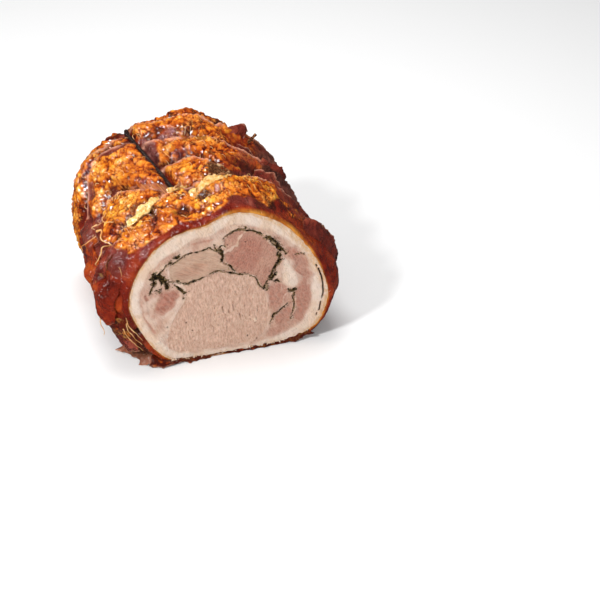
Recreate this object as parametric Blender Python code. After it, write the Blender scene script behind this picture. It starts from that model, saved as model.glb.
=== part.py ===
"""Porchetta: a roasted roll of pork, cut across at the front, lying on its flat underside.

A belly with its skin is rolled round a loin, a tenderloin and a cap muscle, with a seam of
herbs between them. Each muscle and the herb seam run through the roll from the cut face to
the roasted back end. One length of twine is tied lengthwise over the top and down the back.
Run with: blender --background --python part.py
"""

import math

import bmesh
import bpy
import numpy as np
from mathutils import Matrix

MM = 0.001

# Driving sizes, in millimetres. The roll lies along Y, with the cut face towards -Y.
FRONT_Y = -79.0
BACK_Y = 79.0
CENTRE_X = 4.0
CENTRE_Z = 62.0
RIND = 4.0
GAP = 0.3
TWINE_RADIUS = 1.4
TWINE_STANDS = 0.6
SECTION_SIDES = 72
FOOTPRINT_SHIFT = (2.45, -0.97)
STATION_STEP = 4.2

# The roasted back end: a rounded shoulder, then a shallow dome to its middle.
SHOULDER_START_Y = 58.0
SHOULDER_DEPTH = 18.0
END_DOME = 5.0
SHOULDER_STEPS = 4
END_RINGS = 3

# The edge of the meat at the cut face, inside the rind, as (x, z).
FACE_OUTLINE = (
    (-74, 65), (-68, 86), (-52, 108), (-33, 119), (-14, 122), (8, 129.5), (28, 124.5),
    (46, 113), (61, 96), (74, 73), (82, 46), (79, 25), (68, 12), (48, 4.5), (4, 3),
    (-38, 4), (-55, 15), (-66, 34), (-73, 53),
)

# How far the skin stands outside the face outline away from the cut, and where it stands
# further: (extra, direction in degrees, half width in degrees), with 270 the underside.
SKIN_STANDS = 8.0
SKIN_BULGES = ((13.0, 183, 62), (1.5, 90, 50), (2.0, 20, 50), (-3.0, 270, 60))
FRONT_SWELL_LENGTH = 26.0

# Where the ties have drawn the skin in: (y on the right flank, y on the left flank, depth).
# They are deepest on top, shallower on the flanks, and gone where the roll lies on its skin.
VALLEYS = ((-36, -34, 6.5), (-11, 14, 6.0), (19, 37, 6.0), (53, 62, 5.0))
VALLEY_WIDTH = 5.5
VALLEY_FLANK_SHARE = 0.45
VALLEY_TOP_SPREAD_DEG = 120.0
UNDERSIDE_SPREAD_DEG = 75.0
TWINE_SIDE_DEG = 118.0
TWINE_SIDE_SPREAD_DEG = 8.0

# The muscles at the cut face, as (x, z).
LOIN = (
    (-48, 19), (-49, 26), (-45, 34), (-39, 46), (-32, 58), (-26, 67), (-19, 72), (-10, 77),
    (1, 76.5), (12, 73), (22, 68), (28.5, 59), (31.5, 50), (34, 42), (37, 31), (35, 22),
    (30, 14), (24, 9.5), (15, 8), (-12, 8), (-27, 9), (-38, 11), (-46, 13.5),
)
CAP_MUSCLE = (
    (-42, 80.5), (-43, 86), (-38, 91.5), (-29, 95.5), (-19, 98.5), (-10, 98.5), (-5.5, 95.5),
    (-3.5, 89), (-1, 85), (1.5, 82), (-3, 81.8), (-9, 81.8), (-16, 79.5), (-23, 75.8),
    (-33, 75.8), (-38, 77.5),
)
TENDERLOIN = (
    (0.5, 108), (6, 113.5), (14, 114.5), (22, 111.5), (30, 106), (36.5, 99), (40, 92),
    (41.5, 85), (39.5, 77), (36, 69), (32, 60.5), (27.5, 66), (20, 73), (11, 77),
    (5.5, 81.5), (1.8, 87), (0.2, 94.5), (-0.3, 102),
)
# Herbs coat the cap muscle and the tenderloin, and run on in seams: (half thickness, line).
HERB_COAT = 1.3
HERB_SEAMS = (
    (2.6, ((-53, 81), (-48, 83.5), (-43, 85))),
    (1.7, ((-6, 101), (-2.6, 97), (-1.7, 92.5), (-0.9, 88), (1.5, 83.5))),
    (1.6, ((30, 107.5), (38, 101), (43.5, 90), (43, 79), (38, 66), (33.8, 57.5))),
    (0.7, ((-42, 80), (-38.5, 74), (-34.5, 67.5), (-34.5, 61.5))),
    (0.7, ((40, 66), (44, 62), (50, 55), (54.5, 47), (55, 40), (54, 32), (51.5, 25))),
)
LONE_SEAM = ((50, 40), (45.5, 36), (41.5, 32), (39.5, 26), (39, 21))
LONE_SEAM_HALF_WIDTH = 0.7

# The twine's line over the top of the roll, from where it comes out of the skin.
TWINE_START = (-24.0, -30.0)
TWINE_OVER_EDGE = (-41.0, 66.0)
TWINE_GROOVE_WIDTH = 6.0
TWINE_GROOVE_FLOOR = 3.0
TWINE_TOP_POINTS = 30

# Its way down the back end: sideways drift round the shoulder and below it, and where it ends.
TWINE_BACK_DRIFT = (2.0, 4.0)
TWINE_DOME_POWER = 0.7
TWINE_END_Z = 25.4
TWINE_BACK_POINTS = 10


def clear_scene():
    for obj in list(bpy.data.objects):
        bpy.data.objects.remove(obj)


def smooth_step(t):
    t = np.clip(t, 0.0, 1.0)
    return t * t * (3 - 2 * t)


def smooth_loop(points, per_span=3):
    """Points along a closed smooth curve through the given points."""
    p = np.array(points, float)
    before, after, beyond = np.roll(p, 1, 0), np.roll(p, -1, 0), np.roll(p, -2, 0)
    spans = []
    for t in np.arange(per_span) / per_span:
        spans.append(
            p
            + 0.5 * t * (after - before)
            + 0.5 * t**2 * (2 * before - 5 * p + 4 * after - beyond)
            + 0.5 * t**3 * (3 * p - before - 3 * after + beyond)
        )
    return np.stack(spans, 1).reshape(-1, 2)


def grown(loop, distance):
    """The closed loop moved outwards along its normals. The loop runs either way round."""
    ahead = np.roll(loop, -1, 0) - np.roll(loop, 1, 0)
    normal = np.stack([ahead[:, 1], -ahead[:, 0]], 1)
    normal /= np.linalg.norm(normal, axis=1)[:, None]
    twice_area = np.sum(loop[:, 0] * np.roll(loop[:, 1], -1) - loop[:, 1] * np.roll(loop[:, 0], -1))
    return loop + normal * distance * np.sign(twice_area)


def ribbon(line, half_width):
    """A closed loop round an open line, with blunt ends."""
    p = np.array(line, float)
    along = np.gradient(p, axis=0)
    along /= np.linalg.norm(along, axis=1)[:, None]
    side = np.stack([-along[:, 1], along[:, 0]], 1) * half_width
    p[0] -= along[0] * half_width
    p[-1] += along[-1] * half_width
    return np.concatenate([p + side, (p - side)[::-1]])


def angle_lobe(theta, centre_deg, width_deg):
    """1 in the direction centre_deg, falling smoothly to 0 at width_deg to either side."""
    away = np.abs((np.degrees(theta) - centre_deg + 180) % 360 - 180)
    return smooth_step(1 - away / width_deg)


def face_radius(theta):
    """Distance from the roll's middle line to the edge of the meat at the cut face."""
    loop = smooth_loop(FACE_OUTLINE, 12) - [CENTRE_X, CENTRE_Z]
    angle = np.mod(np.arctan2(loop[:, 1], loop[:, 0]), 2 * math.pi)
    order = np.argsort(angle)
    reach = np.hypot(loop[:, 0], loop[:, 1])
    return np.interp(np.mod(theta, 2 * math.pi), angle[order], reach[order], period=2 * math.pi)


def skin_bulge(theta):
    """How far the skin stands outside the face outline, away from the cut."""
    return SKIN_STANDS + sum(
        extra * angle_lobe(theta, centre, spread) for extra, centre, spread in SKIN_BULGES
    )


def twine_x(y):
    """The twine's sideways place on top of the roll."""
    share = (y - TWINE_START[1]) / (TWINE_OVER_EDGE[1] - TWINE_START[1])
    return TWINE_START[0] + (TWINE_OVER_EDGE[0] - TWINE_START[0]) * share


def valley_depth(theta, y):
    """How far the ties draw the skin in. The two sides' valleys meet at the twine."""
    degrees = np.mod(np.degrees(theta), 360)
    over_top = (TWINE_SIDE_DEG + TWINE_SIDE_SPREAD_DEG - degrees) / (2 * TWINE_SIDE_SPREAD_DEG)
    rightness = np.where(degrees < 180, smooth_step(over_top), degrees > 270)
    share = VALLEY_FLANK_SHARE + (1 - VALLEY_FLANK_SHARE) * angle_lobe(
        theta, 90, VALLEY_TOP_SPREAD_DEG
    )
    share = share * (1 - angle_lobe(theta, 270, UNDERSIDE_SPREAD_DEG))
    depth = 0.0
    for right_y, left_y, deepest in VALLEYS:
        valley_y = left_y + (right_y - left_y) * rightness
        depth = depth + deepest * share * np.exp(-(((y - valley_y) / VALLEY_WIDTH) ** 2))
    return depth


def skin_radius(theta, y):
    """Distance from the middle line to the skin: bulges between ties, and the twine's groove."""
    swell = np.sqrt(smooth_step((y - FRONT_Y) / FRONT_SWELL_LENGTH))
    offset = RIND + (skin_bulge(theta) - RIND) * swell - valley_depth(theta, y)
    reach = face_radius(theta)
    across = CENTRE_X + (reach + offset) * np.cos(theta) - twine_x(y)
    groove = np.exp(-((across / TWINE_GROOVE_WIDTH) ** 2)) * (np.sin(theta) > 0)
    groove = groove * smooth_step((y - TWINE_START[1]) / (2 * TWINE_GROOVE_WIDTH) + 0.5)
    offset = offset * (1 - groove) + TWINE_GROOVE_FLOOR * groove
    return reach + offset


def section_ring(y, inward=0.0, at_y=None):
    """One ring of the skin at y, drawn in by a distance, with its underside flat on the ground."""
    theta = np.arange(SECTION_SIDES) * 2 * math.pi / SECTION_SIDES
    radius = skin_radius(theta, np.full(SECTION_SIDES, float(y))) - inward
    x = CENTRE_X + radius * np.cos(theta)
    z = np.maximum(CENTRE_Z + radius * np.sin(theta), 0.0)
    return np.stack([x, np.full(SECTION_SIDES, y if at_y is None else at_y), z], 1)


def roll_rings():
    """Every ring of the roll's outside, from the cut face to near the middle of the back end."""
    stations = np.linspace(FRONT_Y, SHOULDER_START_Y, int((SHOULDER_START_Y - FRONT_Y) / STATION_STEP))
    rings = [section_ring(y) for y in stations]
    shoulder_length = BACK_Y - END_DOME - SHOULDER_START_Y
    for step in range(1, SHOULDER_STEPS + 1):
        turn = 0.5 * math.pi * step / SHOULDER_STEPS
        inward = SHOULDER_DEPTH * (1 - math.cos(turn))
        y = SHOULDER_START_Y + shoulder_length * math.sin(turn)
        rings.append(section_ring(SHOULDER_START_Y, inward, y))
    rim = rings[-1]
    middle = np.array([CENTRE_X, BACK_Y - END_DOME, CENTRE_Z])
    for step in range(1, END_RINGS + 1):
        share = 1 - step / (END_RINGS + 0.6)
        ring = middle + (rim - middle) * share
        ring[:, 1] += END_DOME * (1 - share**2)
        rings.append(ring)
    return rings


def link(obj, collection):
    collection.objects.link(obj)
    return obj


def lofted(name, rings, collection):
    """A closed solid through rings of equal count, capped at both ends."""
    made = bmesh.new()
    rows = [[made.verts.new(point * MM) for point in ring] for ring in rings]
    count = len(rows[0])
    for near, far in zip(rows, rows[1:]):
        for i in range(count):
            j = (i + 1) % count
            made.faces.new((near[i], near[j], far[j], far[i]))
    made.faces.new(rows[0])
    made.faces.new(rows[-1])
    bmesh.ops.triangulate(made, faces=made.faces[:])
    bmesh.ops.recalc_face_normals(made, faces=made.faces[:])
    mesh = bpy.data.meshes.new(name)
    made.to_mesh(mesh)
    made.free()
    return link(bpy.data.objects.new(name, mesh), collection)


def as_mesh(drawn, name, collection):
    """The curve object made a closed mesh object, its caps welded, and the curve removed."""
    bpy.context.view_layer.update()
    mesh = bpy.data.meshes.new_from_object(drawn.evaluated_get(bpy.context.evaluated_depsgraph_get()))
    mesh.name = name
    weld = bmesh.new()
    weld.from_mesh(mesh)
    bmesh.ops.remove_doubles(weld, verts=weld.verts[:], dist=0.00001)
    bmesh.ops.recalc_face_normals(weld, faces=weld.faces[:])
    weld.to_mesh(mesh)
    weld.free()
    made = link(bpy.data.objects.new(name, mesh), collection)
    made.matrix_world = drawn.matrix_world
    bpy.data.objects.remove(drawn)
    return made


def slab(name, loop, collection, overrun=10.0):
    """A flat outline in the cut face's plane, run through the whole length of the roll."""
    curve = bpy.data.curves.new(name, "CURVE")
    curve.dimensions = "2D"
    curve.fill_mode = "BOTH"
    curve.extrude = ((BACK_Y - FRONT_Y) / 2 + overrun) * MM
    spline = curve.splines.new("POLY")
    spline.points.add(len(loop) - 1)
    spline.use_cyclic_u = True
    for point, (x, z) in zip(spline.points, loop):
        point.co = (x * MM, z * MM, 0.0, 1.0)
    drawn = link(bpy.data.objects.new(name + "_drawn", curve), collection)
    drawn.matrix_world = Matrix.Rotation(math.pi / 2, 4, "X")
    return as_mesh(drawn, name, collection)


def boolean(obj, operation, other):
    modifier = obj.modifiers.new(operation.title() + "_" + other.name, "BOOLEAN")
    modifier.operation = operation
    modifier.solver = "EXACT"
    modifier.object = other


def as_cutter(obj):
    obj.hide_render = True
    obj.display_type = "WIRE"
    return obj


def finish(obj, colour, roughness):
    material = bpy.data.materials.new(obj.name)
    material.use_nodes = True
    shader = material.node_tree.nodes["Principled BSDF"]
    shader.inputs["Base Color"].default_value = (*colour, 1.0)
    shader.inputs["Roughness"].default_value = roughness
    shader.inputs["Metallic"].default_value = 0.0
    obj.data.materials.clear()
    obj.data.materials.append(material)
    return obj


def twine_route():
    """Points of the twine's centre: over the top in its groove, round the back, to the ground."""
    points = []
    for y in np.linspace(TWINE_START[1], SHOULDER_START_Y, TWINE_TOP_POINTS):
        x = twine_x(y)
        theta = math.pi / 2
        for _ in range(20):
            radius = skin_radius(np.array([theta]), np.array([y]))[0]
            theta = math.acos((x - CENTRE_X) / radius)
        points.append((x, y, CENTRE_Z + (radius + TWINE_STANDS) * math.sin(theta)))
    edge_x, _, edge_z = points[-1]
    reach_y = BACK_Y - END_DOME - SHOULDER_START_Y + TWINE_STANDS
    for turn in np.linspace(0, math.pi / 2, TWINE_BACK_POINTS)[1:]:
        x = edge_x + TWINE_BACK_DRIFT[0] * math.sin(turn)
        y = SHOULDER_START_Y + reach_y * math.sin(turn)
        points.append((x, y, edge_z - SHOULDER_DEPTH * (1 - math.cos(turn))))
    x, y, top_z = points[-1]
    for share in np.linspace(0, 1, TWINE_BACK_POINTS)[1:]:
        over_dome = END_DOME * math.sin(math.pi * share) ** TWINE_DOME_POWER
        z = top_z + (TWINE_END_Z - top_z) * share
        points.append((x + TWINE_BACK_DRIFT[1] * share, y + over_dome, z))
    return points


def twine_tube(name, radius, collection):
    curve = bpy.data.curves.new(name, "CURVE")
    curve.dimensions = "3D"
    curve.bevel_depth = radius * MM
    curve.bevel_resolution = 2
    curve.use_fill_caps = True
    spline = curve.splines.new("POLY")
    route = twine_route()
    spline.points.add(len(route) - 1)
    for point, place in zip(spline.points, route):
        point.co = (*(value * MM for value in place), 1.0)
    return as_mesh(link(bpy.data.objects.new(name + "_drawn", curve), collection), name, collection)


def make_porchetta():
    parts = bpy.data.collections.new("porchetta")
    cutters = bpy.data.collections.new("cutters")
    for collection in (parts, cutters):
        bpy.context.scene.collection.children.link(collection)

    rings = roll_rings()
    whole_roll = as_cutter(lofted("whole_roll", rings, cutters))
    belly = lofted("belly_roll", rings, parts)

    loops = {
        "loin": smooth_loop(LOIN),
        "cap_muscle": smooth_loop(CAP_MUSCLE),
        "tenderloin": smooth_loop(TENDERLOIN),
    }
    muscles, rooms = {}, {}
    for name, loop in loops.items():
        muscles[name] = slab(name, loop, parts)
        rooms[name] = as_cutter(slab(name + "_room", grown(loop, GAP), cutters, 14))
        boolean(muscles[name], "INTERSECT", whole_roll)

    herbs = slab("herb_filling", grown(loops["cap_muscle"], HERB_COAT), parts)
    coat = as_cutter(slab("herb_coat", grown(loops["tenderloin"], HERB_COAT), cutters, 12))
    boolean(herbs, "UNION", coat)
    herb_rooms = [
        slab("cap_coat_room", grown(loops["cap_muscle"], HERB_COAT + GAP), cutters, 16),
        slab("coat_room", grown(loops["tenderloin"], HERB_COAT + GAP), cutters, 18),
    ]
    for number, (half_width, line) in enumerate(HERB_SEAMS):
        run = as_cutter(slab(f"run_{number}", ribbon(line, half_width), cutters, 20 + number))
        boolean(herbs, "UNION", run)
        herb_rooms.append(
            slab(f"run_room_{number}", ribbon(line, half_width + GAP), cutters, 30 + number)
        )
    for room in herb_rooms:
        boolean(belly, "DIFFERENCE", as_cutter(room))
    boolean(belly, "DIFFERENCE", rooms["loin"])
    for room in rooms.values():
        boolean(herbs, "DIFFERENCE", room)
    boolean(herbs, "INTERSECT", whole_roll)

    seam = slab("herb_seam", ribbon(LONE_SEAM, LONE_SEAM_HALF_WIDTH), parts)
    seam_room = slab("seam_room", ribbon(LONE_SEAM, LONE_SEAM_HALF_WIDTH + GAP), cutters, 14)
    boolean(seam, "INTERSECT", whole_roll)
    boolean(belly, "DIFFERENCE", as_cutter(seam_room))

    twine = twine_tube("twine", TWINE_RADIUS, parts)
    twine_room = as_cutter(twine_tube("twine_room", TWINE_RADIUS + GAP, cutters))
    for crossed in (belly, herbs, muscles["cap_muscle"], muscles["loin"]):
        boolean(crossed, "DIFFERENCE", twine_room)

    # The roll's own middle line is off to one side of its bulges, so it is set over the origin.
    footprint = link(bpy.data.objects.new("footprint_middle", None), parts)
    footprint.location = (FOOTPRINT_SHIFT[0] * MM, FOOTPRINT_SHIFT[1] * MM, 0)
    for obj in list(parts.objects) + list(cutters.objects):
        if obj is not footprint:
            obj.parent = footprint

    finish(belly, (0.45, 0.13, 0.03), 0.35)
    finish(muscles["loin"], (0.56, 0.34, 0.25), 0.5)
    finish(muscles["cap_muscle"], (0.59, 0.38, 0.28), 0.5)
    finish(muscles["tenderloin"], (0.50, 0.24, 0.18), 0.5)
    finish(herbs, (0.06, 0.07, 0.02), 0.7)
    finish(seam, (0.05, 0.05, 0.02), 0.7)
    finish(twine, (0.05, 0.03, 0.02), 0.8)


clear_scene()
make_porchetta()
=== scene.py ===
"""A porchetta, dressed: crackling, cut meat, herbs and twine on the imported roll."""
import math

import bmesh
import bpy
import numpy as np
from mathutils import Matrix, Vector
from mathutils.geometry import delaunay_2d_cdt
from mathutils.kdtree import KDTree


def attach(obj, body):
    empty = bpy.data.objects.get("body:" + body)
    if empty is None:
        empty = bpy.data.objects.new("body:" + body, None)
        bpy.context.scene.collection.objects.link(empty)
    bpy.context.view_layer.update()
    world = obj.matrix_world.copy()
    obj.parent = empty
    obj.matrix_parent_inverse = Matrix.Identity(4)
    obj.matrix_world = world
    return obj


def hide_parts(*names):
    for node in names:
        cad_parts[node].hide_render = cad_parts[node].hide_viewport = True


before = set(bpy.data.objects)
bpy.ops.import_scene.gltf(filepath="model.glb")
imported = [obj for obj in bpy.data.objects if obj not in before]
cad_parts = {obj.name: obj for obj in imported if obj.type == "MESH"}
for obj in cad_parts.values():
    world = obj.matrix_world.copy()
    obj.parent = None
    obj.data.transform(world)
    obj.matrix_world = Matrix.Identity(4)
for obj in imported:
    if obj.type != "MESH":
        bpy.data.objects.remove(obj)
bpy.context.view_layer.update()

# ---------------------------------------------------------------- studio
# The roll stands on a white sweep under a big soft light from the left, a weaker one from the
# right and an all-round white room. The camera looks down on the cut face from the left.
CAMERA_AZIMUTH = math.radians(-16.5)
CAMERA_ELEVATION = math.radians(36)
CAMERA_DISTANCE = 1.25
CAMERA_AIM = Vector((0.08855, 0.00803, -0.027))
CAMERA_LENS = 86.4
ROOM_LIGHT = 0.42
ROOM_MIRRORED = 0.05

camera_data = bpy.data.cameras.new("camera")
camera_data.lens = CAMERA_LENS
camera_data.sensor_width = 36
camera_data.clip_end = 20
camera = bpy.data.objects.new("camera", camera_data)
bpy.context.scene.collection.objects.link(camera)
camera_back = Vector((
    math.sin(CAMERA_AZIMUTH) * math.cos(CAMERA_ELEVATION),
    -math.cos(CAMERA_AZIMUTH) * math.cos(CAMERA_ELEVATION),
    math.sin(CAMERA_ELEVATION),
))
camera.location = CAMERA_AIM + camera_back * CAMERA_DISTANCE
camera.rotation_mode = "QUATERNION"
camera.rotation_quaternion = (-camera_back).to_track_quat("-Z", "Y")
bpy.context.scene.camera = camera
bpy.context.scene.view_settings.view_transform = "Standard"


def add_softbox(name, place, aim, size, watts):
    lamp = bpy.data.lights.new(name, "AREA")
    lamp.shape = "RECTANGLE"
    lamp.size, lamp.size_y = size
    lamp.energy = watts
    light = bpy.data.objects.new(name, lamp)
    bpy.context.scene.collection.objects.link(light)
    light.location = place
    light.rotation_mode = "QUATERNION"
    light.rotation_quaternion = (Vector(aim) - Vector(place)).to_track_quat("-Z", "Y")
    return light


add_softbox("key_left", (-0.75, -0.45, 0.90), (0, 0, 0.05), (0.17, 0.20), 9.5)
fill = add_softbox("front_fill", (0.25, -1.3, 0.55), (0, -0.05, 0.06), (0.5, 0.4), 2.6)
overhead = add_softbox("top_back", (0.0, 0.2, 1.05), (0, 0, 0.08), (0.6, 0.5), 6.5)
fill.visible_glossy = False
overhead.visible_glossy = False

world = bpy.data.worlds.new("white_room")
world.use_nodes = True
room = world.node_tree.nodes["Background"]
room.inputs["Color"].default_value = (1, 1, 1, 1)
ray_kind = world.node_tree.nodes.new("ShaderNodeLightPath")
dimmer = world.node_tree.nodes.new("ShaderNodeMapRange")
dimmer.inputs["To Min"].default_value = ROOM_LIGHT
dimmer.inputs["To Max"].default_value = ROOM_MIRRORED
world.node_tree.links.new(ray_kind.outputs["Is Glossy Ray"], dimmer.inputs["Value"])
world.node_tree.links.new(dimmer.outputs["Result"], room.inputs["Strength"])
bpy.context.scene.world = world

FLOOR_HALF = 3.0
floor_mesh = bpy.data.meshes.new("floor")
corners = [(FLOOR_HALF * x, FLOOR_HALF * y, 0) for x, y in ((-1, -1), (1, -1), (1, 1), (-1, 1))]
floor_mesh.from_pydata(corners, [], [(0, 1, 2, 3)])
floor = bpy.data.objects.new("floor", floor_mesh)
bpy.context.scene.collection.objects.link(floor)
floor_material = bpy.data.materials.new("white_sweep")
floor_material.use_nodes = True
sweep = floor_material.node_tree.nodes["Principled BSDF"].inputs
sweep["Base Color"].default_value = (0.93, 0.93, 0.93, 1)
sweep["Roughness"].default_value = 0.9
floor_mesh.materials.append(floor_material)
floor.visible_glossy = False

# ---------------------------------------------------------------- crackling
# The belly's own skin, roasted until it blisters: golden bubbles on the lobes between the ties,
# smooth dark skin in the creases, down the flanks and along the cut. Painted shade darkens the
# creases, grooves and pits, and a painted highlight runs along each lobe's crest. It is one
# sheet, built here as a front band, a right side and a left side that meet in the creases and
# at the twine.
MM = 0.001
ROLL_SHIFT = np.array([2.45, -0.97, 0.0])
FRONT_Y = -79.0
BACK_Y = 79.0
CENTRE_X = 4.0
CENTRE_Z = 62.0
RIND = 4.0
SHOULDER_START_Y = 60.0
SHOULDER_DEPTH = 13.0
SHOULDER_REACH = 15.0
SKIN_ENDS_TURN = 1.25

FACE_OUTLINE = (
    (-74, 65), (-68, 86), (-52, 108), (-33, 119), (-14, 122), (8, 129.5), (28, 124.5),
    (46, 113), (61, 96), (74, 73), (82, 46), (79, 25), (68, 10.5), (48, 2.8), (4, 1.2),
    (-38, 2.0), (-55, 14), (-66, 34), (-73, 53),
)
SKIN_STANDS = 8.0
SKIN_BULGES = (
    (13, 183, 62), (1.5, 90, 50), (-3, 270, 60), (3.4, 212, 30),
)
FRONT_SWELL_LENGTH = 26.0
RIGHT_FRONT_LOBE = (6.8, -4, 32)
BACK_LEFT_RISE = (11.5, 122, 55)
BACK_LEFT_SWELL = (5.5, 153, 26)

# Creases that the ties have pressed in, as lines of (direction in degrees, y), front to back.
# The first of each side is the front crease, which both sides share.
FRONT_CREASE = (
    (-90, -40), (0, -38), (50, -34), (70, -33), (84, -37), (92, -36), (103, -32), (116, -28),
    (126, -37), (135, -44), (142, -44), (150, -42), (165, -40), (180, -40), (270, -40),
)
RIGHT_CREASES = (
    ((-90, -36), (50, -31), (70, -29), (80, -28), (88, -12), (95, 2), (103, 7), (120, 10)),
    ((-90, 10), (30, 6), (48, 6), (58, 9), (70, 15), (81, 23), (96, 31), (112, 37), (124, 40)),
    ((-90, 50), (34, 50), (48, 52), (60, 50), (74, 48), (84, 53), (100, 60), (124, 66)),
)
LEFT_CREASES = (
    ((112, -22), (118, -22), (130, -12), (143, 4), (150, 8), (158, 0), (165, -10), (180, -14),
     (270, -14)),
    ((112, 46), (126, 47), (131, 48), (140, 50), (150, 40), (158, 30), (165, 22), (180, 18),
     (270, 18)),
    ((112, 63), (150, 62), (180, 55), (270, 55)),
)
CREASE_DEPTH = 13.0
LOBE_FULL_WIDTH = 20.0
LOBE_RISE = 15.0
LOBE_FALL = 4.5

# Folds in the skin, as (height, half width, line of (direction, y)) in millimetres; a groove's
# height is below 0. Most are pleats on the left and drapes down the right flank.
FOLDS = (
    (3.2, 4, ((160, -66), (157, -60), (152, -57))), (2.8, 4.5, ((168, -72), (163, -66))),
    (-3.5, 2, ((166, -58), (160, -54), (155, -50), (151, -42))),
    (-3, 1.6, ((174, -76), (171, -64), (168, -52), (171, -42))),
    (2.5, 3, ((178, -70), (177, -58), (179, -46))), (-2.5, 1.6, ((187, -76), (184, -60))),
    (3, 3, ((163, -10), (160, -20), (159, -28), (162, -37))),
    (-3, 1.8, ((168, -12), (166, -22), (167, -34))),
    (-4, 1.6, ((176, -16), (173, -26), (171, -37))), (3, 4, ((182, -18), (180, -34))),
    (2.5, 2.5, ((174, 16), (172, 2), (174, -8))), (-3, 1.8, ((180, 18), (179, 4), (182, -8))),
    (-2.2, 1.6, ((166, 18), (165, 6), (168, -6))), (2.2, 2, ((187, 14), (188, -4))),
    (-2.5, 2, ((192, -30), (200, -36))), (2.5, 3, ((200, -24), (212, -20), (224, -28))),
    (2, 3, ((196, 6), (210, 4), (222, 8))), (2, 3, ((195, 38), (208, 42), (220, 36))),
    (2, 2.2, ((142, 22), (139, 10), (135, 2))), (-1.8, 1.4, ((136, 26), (132, 12), (127, 4))),
    (1.8, 2, ((70, 44), (56, 38), (44, 36), (30, 34))),
    (-1.8, 1.8, ((72, 34), (58, 28), (44, 26), (28, 25))),
    (1.8, 2.2, ((74, 6), (62, 0), (50, -4), (34, -2))),
    (-2.2, 2, ((76, -10), (62, -12), (48, -14), (30, -12))),
    (1.6, 2, ((66, -20), (50, -22), (32, -22))), (1.8, 2.4, ((34, 18), (18, 20), (2, 17))),
    (-1.8, 2, ((30, -42), (12, -44), (-4, -42))), (1.6, 2.5, ((26, -56), (8, -58), (-8, -54))),
    (-3.5, 4, ((116, -60), (114, -66))), (-3, 3, ((104, -53), (98, -56), (92, -58))),
    (-2.6, 2, ((132, -46), (129, -50))), (-2.4, 3, ((60, -64), (57, -68))),
    (2.2, 3, ((126, -50), (124, -58), (122, -66))), (2, 3, ((144, -52), (141, -60))),
    (2, 3, ((76, -56), (66, -52), (56, -52))),
)

TWINE_START = (-24.0, -30.0)
TWINE_OVER_EDGE = (-41.0, 66.0)
TWINE_ABOVE_MIDDLE = 61.0
TWINE_GROOVE_WIDTH = 4.0
TWINE_GROOVE_FLOOR = 2.6


def ease(t):
    t = np.clip(t, 0.0, 1.0)
    return t * t * (3 - 2 * t)


def smooth_loop(points, per_span=3):
    """Points along a closed smooth curve through the given points."""
    p = np.array(points, float)
    before, after, beyond = np.roll(p, 1, 0), np.roll(p, -1, 0), np.roll(p, -2, 0)
    spans = []
    for t in np.arange(per_span) / per_span:
        spans.append(
            p
            + 0.5 * t * (after - before)
            + 0.5 * t**2 * (2 * before - 5 * p + 4 * after - beyond)
            + 0.5 * t**3 * (3 * p - before - 3 * after + beyond)
        )
    return np.stack(spans, 1).reshape(-1, p.shape[1])


def facing(theta, centre_deg, width_deg):
    """1 in the direction centre_deg, falling smoothly to 0 at width_deg to either side."""
    away = np.abs((np.degrees(theta) - centre_deg + 180) % 360 - 180)
    return ease(1 - away / width_deg)


def wobble(points, size, seed):
    """Smooth noise from -1 to 1 at points in millimetres, with lumps of about the given size."""
    p = np.asarray(points, float) / size + seed * 17.31
    whole = np.floor(p).astype(np.int64)
    part = p - whole
    part = part * part * (3 - 2 * part)
    total = 0.0
    for corner in range(8):
        step = np.array([corner & 1, corner >> 1 & 1, corner >> 2 & 1])
        key = (whole + step) @ np.array([73856093, 19349663, 83492791])
        key = (key ^ (key >> 13)) * 1274126177 & 0x7FFFFFFF
        value = ((key ^ (key >> 15)) & 0xFFFF) / 32767.5 - 1
        weight = np.prod(np.where(step, part, 1 - part), -1)
        total = total + value * weight
    return total


def from_middle(x, z):
    """Direction and distance from the roll's middle line."""
    return np.arctan2(z - CENTRE_Z, x - CENTRE_X), np.hypot(x - CENTRE_X, z - CENTRE_Z)


def round_middle(theta, radius, y):
    """Points at a direction and a distance from the middle line, at y."""
    x, z = CENTRE_X + radius * np.cos(theta), CENTRE_Z + radius * np.sin(theta)
    return np.stack(np.broadcast_arrays(x, y, z), -1)


def face_radius(theta):
    """Distance from the middle line to the edge of the meat at the cut face."""
    angle, reach = from_middle(*smooth_loop(FACE_OUTLINE, 12).T)
    angle = np.mod(angle, 2 * math.pi)
    order = np.argsort(angle)
    return np.interp(np.mod(theta, 2 * math.pi), angle[order], reach[order], period=2 * math.pi)


def skin_bulge(theta):
    return SKIN_STANDS + sum(
        extra * facing(theta, centre, spread) for extra, centre, spread in SKIN_BULGES
    )


def twine_x(y):
    share = (y - TWINE_START[1]) / (TWINE_OVER_EDGE[1] - TWINE_START[1])
    return TWINE_START[0] + (TWINE_OVER_EDGE[0] - TWINE_START[0]) * share


def twine_theta(y):
    """The direction of the twine from the middle line."""
    return np.arctan2(TWINE_ABOVE_MIDDLE, twine_x(y) - CENTRE_X)


def from_below(theta):
    """A direction in degrees, from -90 to 270."""
    return np.mod(np.degrees(theta) + 90, 360) - 90


def on_drum(theta, along):
    """Points of an even drum under the skin, where its noises are read."""
    return np.stack([np.cos(theta) * 60, along, np.sin(theta) * 60], -1)


def crease_y(line, theta):
    """Where a crease lies at a direction, in radians."""
    degrees = from_below(theta)
    spot = np.stack([degrees, 0 * degrees + line[0][1], 0 * degrees], -1)
    wander = 1.1 * wobble(spot, 13, 33) + 0.6 * wobble(spot, 5, 34)
    return np.interp(degrees, *zip(*line)) + wander * (1 - facing(theta, 270, 30))


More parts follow.
